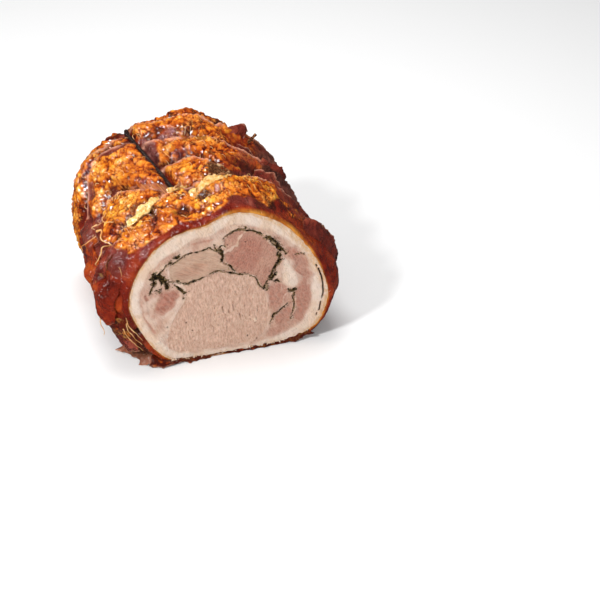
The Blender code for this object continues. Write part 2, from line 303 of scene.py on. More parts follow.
def lobes(theta, y, creases):
    """(height from 0 in a crease to 1 on a lobe's crest, mm behind the last crease, mm to the
    next one). Each lobe swells slowly and drops at once into the crease behind it; on the right
    flank the swelling runs the lobe's whole length."""
    lines = [np.full(np.shape(theta), FRONT_Y - 30.0)]
    lines += [crease_y(line, theta) for line in creases]
    lines += [np.full(np.shape(theta), 110.0)]
    height = np.zeros(np.shape(theta))
    behind = np.full(np.shape(theta), 99.0)
    before = behind
    flank = facing(theta, 38, 58)
    for near, far in zip(lines, lines[1:]):
        width = np.maximum(far - near, 0.5)
        here = (y >= near) & (y <= far)
        rise = 1 - (1 - np.clip((y - near) / np.minimum(LOBE_RISE, 0.6 * width), 0, 1)) ** 2
        rise = rise + (np.clip((y - near) / (0.93 * width), 0, 1) ** 0.85 - rise) * flank
        fall = 1 - (1 - np.clip((far - y) / np.minimum(LOBE_FALL, 0.3 * width), 0, 1)) ** 2.4
        height = np.where(here, rise * fall * np.minimum(1, width / LOBE_FULL_WIDTH), height)
    for line in lines[1:-1]:
        behind = np.where(y >= line, np.minimum(behind, y - line), behind)
        before = np.where(y < line, np.minimum(before, line - y), before)
    return height, behind, before


def away_from(points, line, closed=False, reach=1e9):
    """Distance of each point to a line, exact where it is below reach."""
    line = np.asarray(line, float)
    if closed:
        line = np.vstack([line, line[:1]])
    near = np.all((points > line.min(0) - reach) & (points < line.max(0) + reach), 1)
    near_points = points[near]
    best = np.full(len(near_points), 1e9)
    for a, b in zip(line, line[1:]):
        run = b - a
        share = np.clip(((near_points - a) @ run) / max(run @ run, 1e-9), 0, 1)
        best = np.minimum(best, np.linalg.norm(near_points - a - share[:, None] * run, axis=1))
    away = np.full(len(points), 1e9)
    away[near] = best
    return away


def off_line(degrees, along, line):
    """Distance on the skin, in millimetres, from a line of (direction, y)."""
    at = np.stack([degrees * 1.2, along], -1).reshape(-1, 2)
    return away_from(at, np.array(line, float) * [1.2, 1]).reshape(np.shape(along))


def folds(theta, along):
    degrees = from_below(theta)
    around = np.stack([degrees, along, 0 * along], -1)
    bent = along + 1.5 * wobble(around, 7, 61)
    drawn = degrees + 1.5 * wobble(around, 7, 62)
    total = np.zeros(np.shape(theta))
    for height, half_width, line in FOLDS:
        total += height * np.exp(-((off_line(drawn, bent, line) / half_width) ** 2))
    return total


def skin_place(theta, along, creases=()):
    """Points of the skin, outward directions, distances behind and before a crease, the twine's
    groove and how high on a lobe. along is y, run on past the shoulder as a length round it."""
    turn = np.clip((along - SHOULDER_START_Y) / SHOULDER_REACH, 0, math.pi / 2)
    y = np.minimum(along, SHOULDER_START_Y)
    rise, centre, spread = RIGHT_FRONT_LOBE
    front_lobe = rise * facing(theta, centre, spread) * (1 - ease((y + 36) / 24))
    swell_length = FRONT_SWELL_LENGTH * (1 - 0.55 * facing(theta, centre, spread + 10))
    swell = np.sqrt(ease((y - FRONT_Y) / swell_length))
    offset = RIND + (skin_bulge(theta) + front_lobe - RIND) * swell
    back_rise = 0
    for (rise, centre, spread), start, length in ((BACK_LEFT_RISE, -8, 60), (BACK_LEFT_SWELL, 5, 40)):
        back_rise = back_rise + (
            rise * facing(theta, centre, spread) * ease((along - start) / length)
        )
    height, behind, before = lobes(theta, along, (FRONT_CREASE, *creases))
    top = (0.5 + 0.5 * facing(theta, 90, 120)) * (1 - facing(theta, 270, 75))
    flank = facing(theta, 42, 50)
    depth = CREASE_DEPTH * top * (1 - height) * (1 + 0.35 * flank) - 3.0 * flank * height
    around = on_drum(theta, along)
    lump = 1.6 * wobble(around, 24, 3) + 1.6 * wobble(around, 11, 5)
    away = ease((along - FRONT_Y) / 12)
    offset = np.maximum(offset - depth * away, -6.0) + lump * swell * top
    offset = offset + folds(theta, along) * away * (1 - facing(theta, 270, 60))
    reach = face_radius(theta)
    across = CENTRE_X + (reach + offset) * np.cos(theta) - twine_x(along)
    groove = np.exp(-((across / TWINE_GROOVE_WIDTH) ** 2)) * (np.sin(theta) > 0)
    groove = groove * ease((along - TWINE_START[1]) / 8 + 0.5)
    offset = offset * (1 - groove) + TWINE_GROOVE_FLOOR * groove + back_rise
    radius = reach + offset - SHOULDER_DEPTH * (1 - np.cos(turn))
    points = round_middle(theta, radius, y + SHOULDER_REACH * np.sin(turn))
    outward = np.stack([
        np.cos(theta) * np.cos(turn), np.sin(turn), np.sin(theta) * np.cos(turn),
    ], -1)
    return points, outward, behind, before, groove, height


def link_mesh(name, points, faces, attributes=None):
    """A mesh object from points in millimetres, with its vertex attributes."""
    mesh = bpy.data.meshes.new(name)
    mesh.from_pydata(((points + ROLL_SHIFT) * MM).reshape(-1, 3).tolist(), [], faces)
    for label, values in (attributes or {}).items():
        is_vector = np.shape(values) == np.shape(points)
        made = mesh.attributes.new(label, "FLOAT_VECTOR" if is_vector else "FLOAT", "POINT")
        made.data.foreach_set(
            "vector" if is_vector else "value", np.asarray(values, np.float32).ravel()
        )
    obj = bpy.data.objects.new(name, mesh)
    bpy.context.scene.collection.objects.link(obj)
    tidy = bmesh.new()
    tidy.from_mesh(mesh)
    bmesh.ops.recalc_face_normals(tidy, faces=tidy.faces[:])
    tidy.to_mesh(mesh)
    tidy.free()
    mesh.shade_smooth()
    return obj


def sheet_faces(rows, columns, wrap_rows, wrap_columns):
    """Quads of a grid of points, rows by columns."""
    faces = []
    for r in range(rows if wrap_rows else rows - 1):
        s = (r + 1) % rows
        for c in range(columns if wrap_columns else columns - 1):
            d = (c + 1) % columns
            faces.append((r * columns + c, r * columns + d, s * columns + d, s * columns + c))
    return faces


def spread_directions(start_deg, stop_deg):
    """Directions in radians whose skin points lie evenly apart, in millimetres."""
    fine = np.radians(np.linspace(start_deg, stop_deg, 3000))
    under = facing(fine, 270, 62)
    gap = SKIN_SPACING + (UNDER_SPACING - SKIN_SPACING) * under
    steps = (face_radius(fine) + SKIN_STANDS) / gap
    length = np.concatenate([[0], np.cumsum((steps[1:] + steps[:-1]) / 2 * np.diff(fine))])
    return np.interp(np.linspace(0, length[-1], int(length[-1]) + 1), length, fine)


# Where the skin's look changes, as (direction, y, degrees, mm, amount) of soft-edged patches.
SMOOTH_PATCHES = (
    (118, 26, 5, 14, 1), (112, 38, 8, 4, 1), (104, 41, 5, 3, 0.8), (106, -38, 3, 8, 1),
    (112, 6, 5, 4, 0.7), (133, 45, 8, 6, 0.9), (155, 27, 4, 8, 0.8), (97, 26, 3, 4, 0.6),
    (96, 3, 3, 5, 0.6), (80, -73, 14, 7, 1), (60, -28, 20, 4, 1), (145, 13, 5, 3, 0.5),
)
GOLD_PATCHES = (
    (150, -4, 10, 13, 1), (144, -20, 9, 8, 0.9), (155, 6, 5, 5, 0.8), (146, 15, 6, 4, 0.7),
    (88, -46, 17, 9, 0.55), (113, -36, 4, 9, 0.9), (101, -68, 9, 10, 0.9), (134, -52, 9, 7, 0.9),
    (143, -49, 6, 5, 0.8), (135, 57, 14, 6, 0.7), (104, -2, 8, 12, 0.45), (102, 58, 8, 6, 0.5),
    (142, 32, 8, 9, 0.5), (60, -50, 7, 10, 0.55), (180, 40, 9, 14, 0.7), (171, 46, 5, 9, 0.5),
    (134, 14, 6, 8, 0.4), (108, 22, 4, 6, 0.5), (123, -24, 4, 7, 0.5), (70, -42, 7, 6, 0.7),
)
PLUM_PATCHES = (
    (118, 26, 4, 14, 1), (111, 38, 8, 4, 0.9), (103, 41, 4, 3, 0.6), (106, -38, 3, 9, 1),
    (134, 44, 8, 6, 0.45), (155, 27, 4, 9, 0.7), (166, -28, 5, 13, 0.4), (158, -62, 7, 9, 0.5),
    (168, -64, 8, 10, 0.5), (176, -52, 8, 8, 0.3), (66, 3, 8, 7, 0.6), (60, -24, 20, 4, 0.7),
    (172, 6, 10, 12, 0.45), (76, -70, 15, 6, 0.5), (45, -28, 12, 5, 0.6), (86, 48, 5, 5, 0.4),
    (50, 20, 12, 6, 0.5),
)
# Dark patches, painted near-black: char in places, and painted shade in the grooves, pits and gaps between
# the lobes.
SOOT_AND_SHADE_PATCHES = (
    (115, -62, 4, 5, 0.9), (100, -55, 5, 3.5, 1), (130, -48, 4, 3, 1), (88, 19, 2.5, 5, 0.7),
    (96, 24, 2.5, 4, 0.55), (92, 36, 5, 2, 0.8), (86, -22, 4, 9, 0.8), (62, -12, 14, 5, 0.6),
    (44, -6, 7, 9, 0.9), (41, 36, 5, 12, 0.5), (58, -66, 3, 4, 0.9), (172, 3, 5, 8, 0.4),
    (214, -76, 7, 3, 1), (206, -78, 4, 2, 0.9), (136, -32, 5, 3, 0.6), (130, -54, 2, 6, 0.9),
    (120, 2, 3, 4, 0.5), (40, 9, 6, 3, 0.8), (126, 50, 4, 2, 0.7), (150, 44, 6, 2, 0.6),
)
RED_PATCHES = (
    (183, -28, 8, 12, 1), (180, -74, 5, 5, 1), (191, -52, 8, 15, 0.6), (120, -55, 10, 12, 0.5),
    (156, -46, 6, 5, 0.7), (56, -4, 4, 7, 0.9), (47, 8, 4, 3, 0.9), (24, -62, 9, 12, 0.3),
)
BLISTERED_SHOULDER = (38, -56, 9, 9, 1.0)


def patches(theta, along, places):
    """The strongest of the patches at each point of the skin, with ragged borders."""
    degrees = from_below(theta)
    around = on_drum(theta, along)
    ragged = 0.30 * wobble(around, 6, 71) + 0.18 * wobble(around, 2.6, 72)
    return np.max([
        amount * ease(
            (1.35 - (np.hypot((degrees - turn) / wide, (along - y) / long) + ragged)) / 0.6
        ) for turn, y, wide, long, amount in places
    ], 0)


def skin_fields(theta, along, behind, before, groove, part):
    """Attributes of the skin's points, from 0 to 1: how blistered, dried, gold, plum-coloured,
    sooty and red the skin is there, where painted shade darkens creases and pits, and where a
    painted highlight runs along a crest."""
    degrees = from_below(theta)
    around = on_drum(theta, along)
    patchy, ragged = wobble(around, 13, 7), wobble(around, 5, 9)
    edge = 8 * patchy + 4 * ragged

    def past(value, width):
        """0 to 1 over a width, with a ragged border."""
        return ease((value + edge) / width)

    clear = ease((behind - 1.0 + 1.5 * patchy) / 2.5) * ease((before - 0.6) / 1.5)
    if part == "right":
        starts = 62 - 6 * ease((along - 30) / 15) + 12 * ease((8 - along) / 20)
        starts = starts - 26 * ease((-22 - along) / 6)
        puff = past(degrees - starts, 14) * clear
        puff = np.maximum(puff, 0.3 * past(degrees - starts + 22, 14) * clear)
        dry = 1 - past(degrees - starts + 30, 26)
    elif part == "left":
        puff = ease((164 + 0.6 * edge - degrees) / 10) * (0.3 + 0.7 * clear)
        puff = np.maximum(puff, past(along - 24, 8) * clear)
        dry = past(degrees - 200, 20) * 0.6
    else:
        bare = 2.5 + 6 * facing(theta, 48, 36) + 4 * facing(theta, 165, 30)
        puff = ease((along - FRONT_Y - bare + 0.35 * edge) / 4)
        puff = puff * past(150 - degrees, 10) * clear
        puff = puff * past(degrees - 54, 8)
        shoulder = patches(theta, along, (BLISTERED_SHOULDER,))
        puff = np.maximum(puff, 0.85 * shoulder * ease(0.5 + 1.2 * patchy + ragged))
        dry = 0.4 * (1 - past(degrees - 40, 30)) * ease((along + 60) / 12)
    # Behind each crease the skin starts smooth and mauve; the mauve there is also painted shade in the
    # crease.
    hollow = np.exp(-((behind / (4.2 + 2.0 * patchy)) ** 2)) * ease((along + 60) / 10)
    puff = puff * (1 - patches(theta, along, SMOOTH_PATCHES)) * (1 - 0.8 * hollow)
    puff = puff * (1 - groove) * ease((along - FRONT_Y - 2) / 4)
    under = facing(theta, 270, 70)
    puff = puff * (1 - under)
    soot = patches(theta, along, SOOT_AND_SHADE_PATCHES)
    # Right behind each crease line the skin is painted near-black through soot: painted shade in the crease
    # bottom.
    lip = (1 - ease(behind / 2.2)) * ease((along + 60) / 10) * (1 - under)
    soot = np.maximum(soot, 0.75 * lip)
    return {
        "puff": puff, "dry": np.maximum(dry, under), "soot": soot,
        "gold": patches(theta, along, GOLD_PATCHES),
        "plum": np.maximum(patches(theta, along, PLUM_PATCHES), 0.75 * hollow * (1 - under)),
        "red": patches(theta, along, RED_PATCHES),
        # A painted highlight along each lobe's crest, just before the next crease.
        "brink": np.exp(-((before - 4.2) / 1.7) ** 2) * (before < 20)
        * ease((degrees - 18) / 28) * ease((212 - degrees) / 25),
    }


SKIN_SPACING = 0.52
UNDER_SPACING = 1.5
RIM_ROWS = 9
RIM_DEPTH = 2.2
FRONT_ROWS = 84
SIDE_ROWS = 190
SKIN_ENDS = SHOULDER_START_Y + SHOULDER_REACH * SKIN_ENDS_TURN
WALL = 3.5


def front_band():
    theta_line = spread_directions(-90, 270)[:-1]
    count = len(theta_line)
    start = FRONT_Y + RIM_DEPTH
    stop = crease_y(FRONT_CREASE, theta_line)
    share = np.linspace(0, 1, FRONT_ROWS)[:, None]
    along = start + (stop - start)[None, :] * share
    theta = np.broadcast_to(theta_line, along.shape)
    points, outward, behind, before, groove, height = skin_place(theta, along)
    fields = skin_fields(theta, along, behind, before, groove, "front")
    fields["crest"] = height
    # The cut edge of the skin is a rounded lip a little proud of the meat.
    reach = face_radius(theta_line)
    outer = from_middle(points[0, :, 0], points[0, :, 2])[1] - reach
    pit = facing(theta_line, 202, 15) * (0.7 + 0.3 * np.sin(theta_line * 40))
    lit = 0.45 + 0.55 * facing(theta_line, 62, 75)
    rim, lip = [], []
    for turn in np.linspace(0, math.pi, RIM_ROWS, endpoint=False):
        offset = outer * (0.5 - 0.5 * math.cos(turn)) - 0.3
        y = FRONT_Y + RIM_DEPTH + (6.0 * pit - 3.0) * math.sin(turn)
        rim.append(round_middle(theta_line, reach + offset, y))
        lip.append(np.clip(1.5 - offset / (3.6 * lit), 0, 1) * (0.5 + 0.5 * lit) * (1 - pit))
    rim = np.array(rim)
    inner = points[-1] - outward[-1] * WALL
    grid = np.concatenate([rim, points, inner[None]])
    grid[..., 2] = np.maximum(grid[..., 2], 0.0)
    fields = {
        label: np.concatenate([np.broadcast_to(0 * field[0], (RIM_ROWS, count)), field, field[-1:]])
        for label, field in fields.items()
    }
    fields["lip"] = np.concatenate([np.array(lip), np.zeros((FRONT_ROWS + 1, count))])
    # The pit in the lip at the lower left is painted dark through soot: painted shade in the recess.
    fields["soot"][:RIM_ROWS] = pit
    fields["outward"] = np.concatenate([
        np.broadcast_to([0.0, -1.0, 0.0], rim.shape), outward, outward[-1:],
    ])
    return link_mesh("crackling_front", grid, sheet_faces(len(grid), count, True, True), fields)


def side_skin(name, part, start_deg, stop_deg, creases, rows):
    """One side of the skin, from the front crease to the back shoulder, up to the twine."""
    theta_line = spread_directions(start_deg, stop_deg)
    if part == "left":
        theta_line = theta_line[::-1]
    count = len(theta_line)
    across = (theta_line - theta_line[0]) / (theta_line[-1] - theta_line[0])
    share = np.linspace(0, 1, rows)[:, None]
    start = crease_y(FRONT_CREASE, theta_line)
    along = start + (SKIN_ENDS - start)[None, :] * share
    theta = theta_line[0] + (twine_theta(along) - theta_line[0]) * across
    points, outward, behind, before, groove, height = skin_place(theta, along, creases)
    fields = skin_fields(theta, along, behind, before, groove, part)
    fields.update(crest=height, lip=0 * height, outward=outward)
    fields = {
        label: np.concatenate([field, field[-1:], field[:1]]) for label, field in fields.items()
    }
    ends = [points[row] - outward[row] * WALL for row in (-1, 0)]
    points = np.concatenate([points, ends])
    points[..., 2] = np.maximum(points[..., 2], 0.0)
    faces = sheet_faces(rows + 2, count, True, False)
    first = [r * count for r in range(rows + 2)]
    last = [r * count + count - 1 for r in range(rows + 2)]
    faces += [first, last[::-1]]
    return link_mesh(name, points, faces, fields)


class Nodes:
    """Builds one node tree. A value is a socket, a number, a tuple or a word."""

    def __init__(self, tree):
        self.tree = tree
        self.where = None

    def feed(self, target, value):
        if isinstance(value, bpy.types.NodeSocket):
            self.tree.links.new(value, target)
        else:
            target.default_value = value

    def add(self, kind, inputs=(), **settings):
        made = self.tree.nodes.new(kind)
        for key, value in settings.items():
            setattr(made, key, value)
        for key, value in dict(inputs).items():
            self.feed(made.inputs[key], value)
        return made

    def after(self, geometry, kind, inputs=(), **settings):
        """The next node that the geometry passes through."""
        return self.add(kind, {"Geometry": geometry, **dict(inputs)}, **settings).outputs[0]

    def maths(self, operation, a, b=0.0, clamp=False):
        return self.add("ShaderNodeMath", {0: a, 1: b}, operation=operation,
                        use_clamp=clamp).outputs[0]

    def times(self, a, b):
        return self.maths("MULTIPLY", a, b)

    def plus(self, a, b):
        return self.maths("ADD", a, b)

    def minus(self, a, b, clamp=False):
        return self.maths("SUBTRACT", a, b, clamp)

    def off_middle(self, value):
        """How far a noise is from its middle, either way."""
        return self.maths("ABSOLUTE", self.minus(value, 0.5))

    def vector(self, operation, *inputs):
        slots = (0, 3) if operation == "SCALE" else (0, 1, 2)
        made = self.add("ShaderNodeVectorMath", zip(slots, inputs), operation=operation)
        return made.outputs[0]

    def between(self, value, low, high):
        """0 below low, 1 above high."""
        limits = {"From Min": low, "From Max": high, "Value": value}
        made = self.add("ShaderNodeMapRange", limits, interpolation_type="SMOOTHSTEP")
        return made.outputs["Result"]

    def noise(self, scale, detail=2.0, seed=0.0, distortion=0.0, where=None, output="Fac"):
        """Noise in space, from about 0 to 1."""
        return self.add("ShaderNodeTexNoise", {
            "Vector": where or self.where, "W": seed, "Scale": scale, "Detail": detail,
            "Distortion": distortion,
        }, noise_dimensions="4D").outputs[output]

    def mask(self, label):
        return self.add("ShaderNodeAttribute", attribute_name=label).outputs["Fac"]

    def mix(self, share, low, high):
        """Mix of two colours, each a socket or an (r, g, b)."""
        low, high = ((*c, 1.0) if isinstance(c, tuple) else c for c in (low, high))
        made = self.add("ShaderNodeMix", {0: share, 6: low, 7: high}, data_type="RGBA")
        return made.outputs[2]

    def ramp(self, value, *stops):
        """A colour ramp; a stop is (position, (r, g, b))."""
        made = self.add("ShaderNodeValToRGB", {"Fac": value})
        while len(made.color_ramp.elements) < len(stops):
            made.color_ramp.elements.new(0.5)
        for element, (position, colour) in zip(made.color_ramp.elements, stops):
            element.position = position
            element.color = (*colour, 1.0)
        return made.outputs["Color"]

    def bump(self, **inputs):
        """Inputs are height, distance, strength and normal."""
        named = {label.capitalize(): value for label, value in inputs.items()}
        return self.add("ShaderNodeBump", named).outputs["Normal"]

    def shade(self, inputs):
        """Feeds the material's shader."""
        shader = self.tree.nodes["Principled BSDF"]
        for label, value in inputs.items():
            self.feed(shader.inputs[label], value)


def new_group(name, kind, inputs, outputs):
    """A node group with named sockets, what it is given, and what it gives back."""
    tree = bpy.data.node_groups.new(name, kind)
    for in_out, sockets in (("INPUT", inputs), ("OUTPUT", outputs)):
        for label, value in sockets.items():
            tree.interface.new_socket(label, in_out=in_out, socket_type="NodeSocket" + value)
    n = Nodes(tree)
    return n, n.add("NodeGroupInput").outputs, n.add("NodeGroupOutput").inputs


def blister_tree():
    """Raises bubbles on the skin where it is blistered: big ones and small ones, run together."""
    n, given, result = new_group("blistered_skin", "GeometryNodeTree", {
        "Geometry": "Geometry", "Big Bubble": "Float", "Small Bubble": "Float",
        "Height": "Float", "Material": "Material",
    }, {"Geometry": "Geometry"})
    n.where = n.add("GeometryNodeInputPosition").outputs[0]

    def field(label, kind="FLOAT"):
        made = n.add("GeometryNodeInputNamedAttribute", {"Name": label}, data_type=kind)
        return made.outputs["Attribute"]

    bend = n.vector("SUBTRACT", n.noise(150, 2, 1.0, output="Color"), (0.5, 0.5, 0.5))
    bent = n.vector("ADD", n.where, n.vector("SCALE", bend, 0.009))

    def bubbles(size, seed):
        """Domes that touch along sharp creases, each its own height."""
        cells = n.add("ShaderNodeTexVoronoi", {
            "Vector": bent, "Scale": n.maths("DIVIDE", 1.0, size), "W": seed,
        }, voronoi_dimensions="4D", feature="F1")
        share = n.times(cells.outputs["Distance"], 1.25)
        rest = n.minus(1.0, n.times(share, share), True)
        one = n.add("ShaderNodeSeparateXYZ", {0: cells.outputs["Color"]})
        return n.times(rest, n.plus(n.times(one.outputs["X"], 0.65), 0.5)), one.outputs["Y"]

    big, big_chance = bubbles(given["Big Bubble"], 0.3)
    small, _ = bubbles(given["Small Bubble"], 7.7)
    sort = n.between(n.noise(85, 1, 5.0), 0.40, 0.58)
    coarse = n.plus(n.times(big, 0.85), n.times(small, 0.18))
    fine = n.plus(n.times(big, 0.25), n.times(small, 0.50))
    dome = n.plus(n.times(coarse, sort), n.times(fine, n.minus(1.0, sort)))
    thread = n.minus(1.0, n.times(n.off_middle(n.noise(210, 1, 4.0, 1.2)), 14.0), True)
    thread = n.times(thread, n.between(n.noise(60, 1, 14.0), 0.48, 0.58))
    ruck = n.minus(n.noise(420, 3, 2.0, 0.6), 0.5)
    dome = n.plus(dome, n.plus(n.times(ruck, 0.30), n.times(thread, 0.22)))
    puff = field("puff")
    raised = n.times(n.times(dome, puff), given["Height"])
    calm = n.minus(1.0, puff, True)
    skin_ruck = n.minus(n.noise(130, 3, 9.0, 0.4), 0.5)
    pleat = n.maths("MINIMUM", n.times(n.off_middle(n.noise(70, 2, 10.0, 1.5)), 6.0), 0.6)
    flesh = n.times(n.times(skin_ruck, calm), 0.0040)
    flesh = n.plus(flesh, n.times(n.times(n.times(pleat, calm), field("dry")), 0.0022))
    above_ground = n.add("ShaderNodeSeparateXYZ", {0: n.where}).outputs["Z"]
    rise = n.times(n.plus(raised, flesh), n.between(above_ground, 0.002, 0.008))
    latest = n.after(given["Geometry"], "GeometryNodeSetPosition", {
        "Offset": n.vector("SCALE", field("outward", "FLOAT_VECTOR"), rise),
    })
    for label, value in (("dome", dome), ("chance", big_chance), ("thread", thread)):
        latest = n.after(latest, "GeometryNodeStoreNamedAttribute", {
            "Name": label, "Value": value,
        }, data_type="FLOAT", domain="POINT")
    latest = n.after(latest, "GeometryNodeRealizeInstances")
    latest = n.after(latest, "GeometryNodeSetMaterial", {"Material": given["Material"]})
    n.feed(result["Geometry"], latest)
    return n.tree


def grow(obj, tree, **values):
    """Runs a geometry tree on the object and keeps the result as its plain mesh."""
    modifier = obj.modifiers.new(tree.name, "NODES")
    modifier.node_group = tree
    for item in tree.interface.items_tree:
        key = item.name.replace(" ", "_").lower()
        if item.in_out == "INPUT" and key in values:
            modifier[item.identifier] = values[key]
    graph = bpy.context.evaluated_depsgraph_get()
    made = bpy.data.meshes.new_from_object(obj.evaluated_get(graph))
    obj.modifiers.remove(modifier)
    old = obj.data
    obj.data = made
    bpy.data.meshes.remove(old)
    made.name = obj.name
    return obj


def new_material(name):
    material = bpy.data.materials.new(name)
    material.use_nodes = True
    n = Nodes(material.node_tree)
    n.where = n.add("ShaderNodeTexCoord").outputs["Object"]
    return material, n


def crackling_material():
    material, n = new_material("crackling")
    puff, gold, plum, dry, soot, red, brink, lip, torn = map(
        n.mask, ("puff", "gold", "plum", "dry", "soot", "red", "brink", "lip", "pale")
    )
    # Blisters: red-brown in the folds between them, orange on their sides, and yellow where
    # they are blown thinnest. Lower on each lobe, towards its crease, they are painted darker:
    # painted shade.
    lift = n.mask("dome")
    for value, middle, share in (
        (n.noise(75, 4, 3.0, 0.6), 0.5, 0.85), (n.mask("crest"), 1.0, 0.55),
        (n.mask("chance"), 0.5, 0.16),
    ):
        lift = n.plus(lift, n.times(n.minus(value, middle), share))
    amber = n.ramp(
        lift, (0.00, (0.075, 0.006, 0.002)), (0.16, (0.26, 0.030, 0.003)),
        (0.33, (0.50, 0.100, 0.007)), (0.54, (0.70, 0.195, 0.014)), (0.78, (0.84, 0.330, 0.033)),
        (1.00, (0.93, 0.54, 0.12)),
    )
    yellow = n.ramp(
        lift, (0.00, (0.11, 0.010, 0.002)), (0.16, (0.36, 0.060, 0.004)),
        (0.35, (0.63, 0.19, 0.010)), (0.62, (0.83, 0.38, 0.030)), (0.95, (0.94, 0.62, 0.16)),
    )
    blister = n.mix(gold, amber, yellow)
    # Smooth skin is maroon. Where it is dry it is browner, elsewhere scarlet or mauve.
    bloom = n.noise(60, 3, 11.0, 0.5)
    smooth_skin = n.ramp(
        bloom, (0.30, (0.065, 0.004, 0.002)), (0.50, (0.19, 0.014, 0.005)),
        (0.68, (0.36, 0.048, 0.011)),
    )
    for share, *stops in (
        (dry, (0.30, (0.06, 0.015, 0.011)), (0.50, (0.16, 0.044, 0.031)),
         (0.70, (0.29, 0.095, 0.060))),
        (red, (0.30, (0.16, 0.014, 0.004)), (0.50, (0.33, 0.038, 0.007)),
         (0.72, (0.62, 0.15, 0.014))),
        (plum, (0.30, (0.060, 0.011, 0.009)), (0.52, (0.145, 0.038, 0.031)),
         (0.74, (0.32, 0.14, 0.12))),
    ):
        smooth_skin = n.mix(share, smooth_skin, n.ramp(bloom, *stops))
    colour = n.mix(n.between(puff, 0.10, 0.55), smooth_skin, blister)
    # Over the blisters run pale threads and curls; along each lobe's crest and along torn edges the skin is
    # painted paler and pinker: a painted highlight.
    pale = n.mix(gold, (0.86, 0.38, 0.08), (0.95, 0.62, 0.17))
    colour = n.mix(n.times(n.times(n.mask("thread"), puff), 0.6), colour, pale)
    curl = n.minus(1.0, n.times(n.off_middle(n.noise(330, 1, 33.0, 1.6)), 26.0), True)
    curl = n.times(curl, n.between(n.noise(110, 1, 34.0), 0.46, 0.58))
    curl = n.times(curl, n.between(puff, 0.3, 0.8))
    colour = n.mix(n.times(curl, 0.32), colour, pale)
    highlight_breakup = n.times(n.between(n.noise(160, 2, 29.0), 0.30, 0.55), 0.75)
    colour = n.mix(n.times(brink, highlight_breakup), colour, (0.70, 0.33, 0.22))
    cream = n.ramp(
        n.noise(420, 3, 61.0, 0.8), (0.30, (0.14, 0.03, 0.005)), (0.38, (0.70, 0.35, 0.07)),
        (0.52, (0.88, 0.60, 0.22)), (0.70, (0.95, 0.78, 0.45)),
    )
    colour = n.mix(torn, colour, cream)
    # Near-black where soot is set: char in places, painted shade in the creases, grooves and pits.
    char_and_shade = n.times(soot, n.between(n.noise(700, 2, 17.0), 0.22, 0.48))
    colour = n.mix(n.times(char_and_shade, 0.92), colour, (0.035, 0.009, 0.006))
    # Tiny holes in the gold blisters are painted as dark dots: painted shade, with no hole in the mesh.
    hole_shade = n.between(n.noise(620, 1, 18.0), 0.66, 0.72)
    colour = n.mix(n.times(hole_shade, n.times(gold, puff)), colour, (0.06, 0.008, 0.003))
    amber_lip = n.ramp(
        n.noise(70, 3, 21.0), (0.32, (0.26, 0.050, 0.008)), (0.50, (0.55, 0.175, 0.020)),
        (0.68, (0.80, 0.36, 0.06)),
    )
    colour = n.mix(n.between(lip, 0.05, 0.95), colour, amber_lip)
    rough = n.ramp(n.noise(240, 2, 31.0), (0.3, (0.12, 0.12, 0.12)), (0.7, (0.26, 0.26, 0.26)))
    calm = n.minus(1.0, puff, True)
    wrinkles = n.bump(
        height=n.noise(170, 4, 43.0, 1.2), distance=0.0030, strength=n.times(calm, 0.9),
    )
    grain = n.bump(
        height=n.plus(n.noise(430, 3, 41.0), n.times(curl, 0.35)), distance=0.0008,
        strength=n.plus(n.times(calm, 0.45), 0.15), normal=wrinkles,
    )
    n.shade({
        "Base Color": colour, "Roughness": n.mix(dry, rough, (0.50, 0.50, 0.50)),
        "Normal": grain, "Coat Normal": grain, "Specular IOR Level": 0.15,
        "Coat Weight": n.minus(1.0, n.times(dry, 0.6)), "Coat IOR": 1.55, "Coat Roughness": 0.09,
    })
    return material


crackling = crackling_material()
blisters = blister_tree()
crackling_parts = [
    front_band(),
    side_skin("crackling_right", "right", -90, 118, RIGHT_CREASES, SIDE_ROWS),
    side_skin("crackling_left", "left", 118, 270, LEFT_CREASES, SIDE_ROWS + 20),
]
for obj in crackling_parts:
    grow(obj, blisters, big_bubble=0.0045, small_bubble=0.0023, height=0.0034, material=crackling)
    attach(obj, "root")
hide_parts("belly_roll")

# ---------------------------------------------------------------- cut face
# The roll is cut flat across in front. The belly wraps a loin, a cap muscle and a tenderloin,
# with herbs rolled in between; at the back the same layers have roasted brown. Each piece is a
# solid from the cut to the back end, drawn on the cut in (x, z) millimetres.
CUT_SPACING = 0.54
LOIN = (
    (-47, 15), (-47.5, 24), (-45.5, 33), (-42, 42), (-37.5, 50), (-32.5, 57.5), (-31, 64),
    (-33.5, 69.5), (-33, 72.5), (-27, 73.2), (-21.8, 74.1), (-18.3, 75.8), (-14, 77.4), (-8, 79.1),
    (-3.5, 79.9), (0, 78.2), (5.5, 75.9), (10.7, 74.1), (18.5, 71.8), (23, 69.3), (25.3, 65),
    (27.3, 60.8), (30.3, 55.5), (32.3, 50), (33.4, 41.5), (34, 31.7), (33, 22), (29, 14),
    (22, 8.5), (8, 7.6), (-12, 7.8), (-27, 8.6), (-38, 10.5),
)
CAP_MUSCLE = (
    (-41.5, 79.5), (-42, 84), (-42.5, 89), (-40, 92.3), (-35.5, 95.4), (-32, 97.6), (-28, 99.2),
    (-24, 99.9), (-20.7, 99.5), (-15.8, 100.9), (-11.7, 102.6), (-9.8, 101.4), (-6.5, 98.5),
    (-4, 95), (-2.5, 90.5), (-1.6, 87), (0, 84.8), (3, 82.8), (5.4, 79.8), (6.6, 77.7),
    (3.3, 78.2), (-0.7, 79.6), (-4.2, 81.4), (-8.2, 80.4), (-14.2, 78.7), (-18.3, 77.1),
    (-21.8, 75.5), (-26.4, 74.7), (-30.3, 74.9), (-35, 76.4), (-39, 78.2),
)
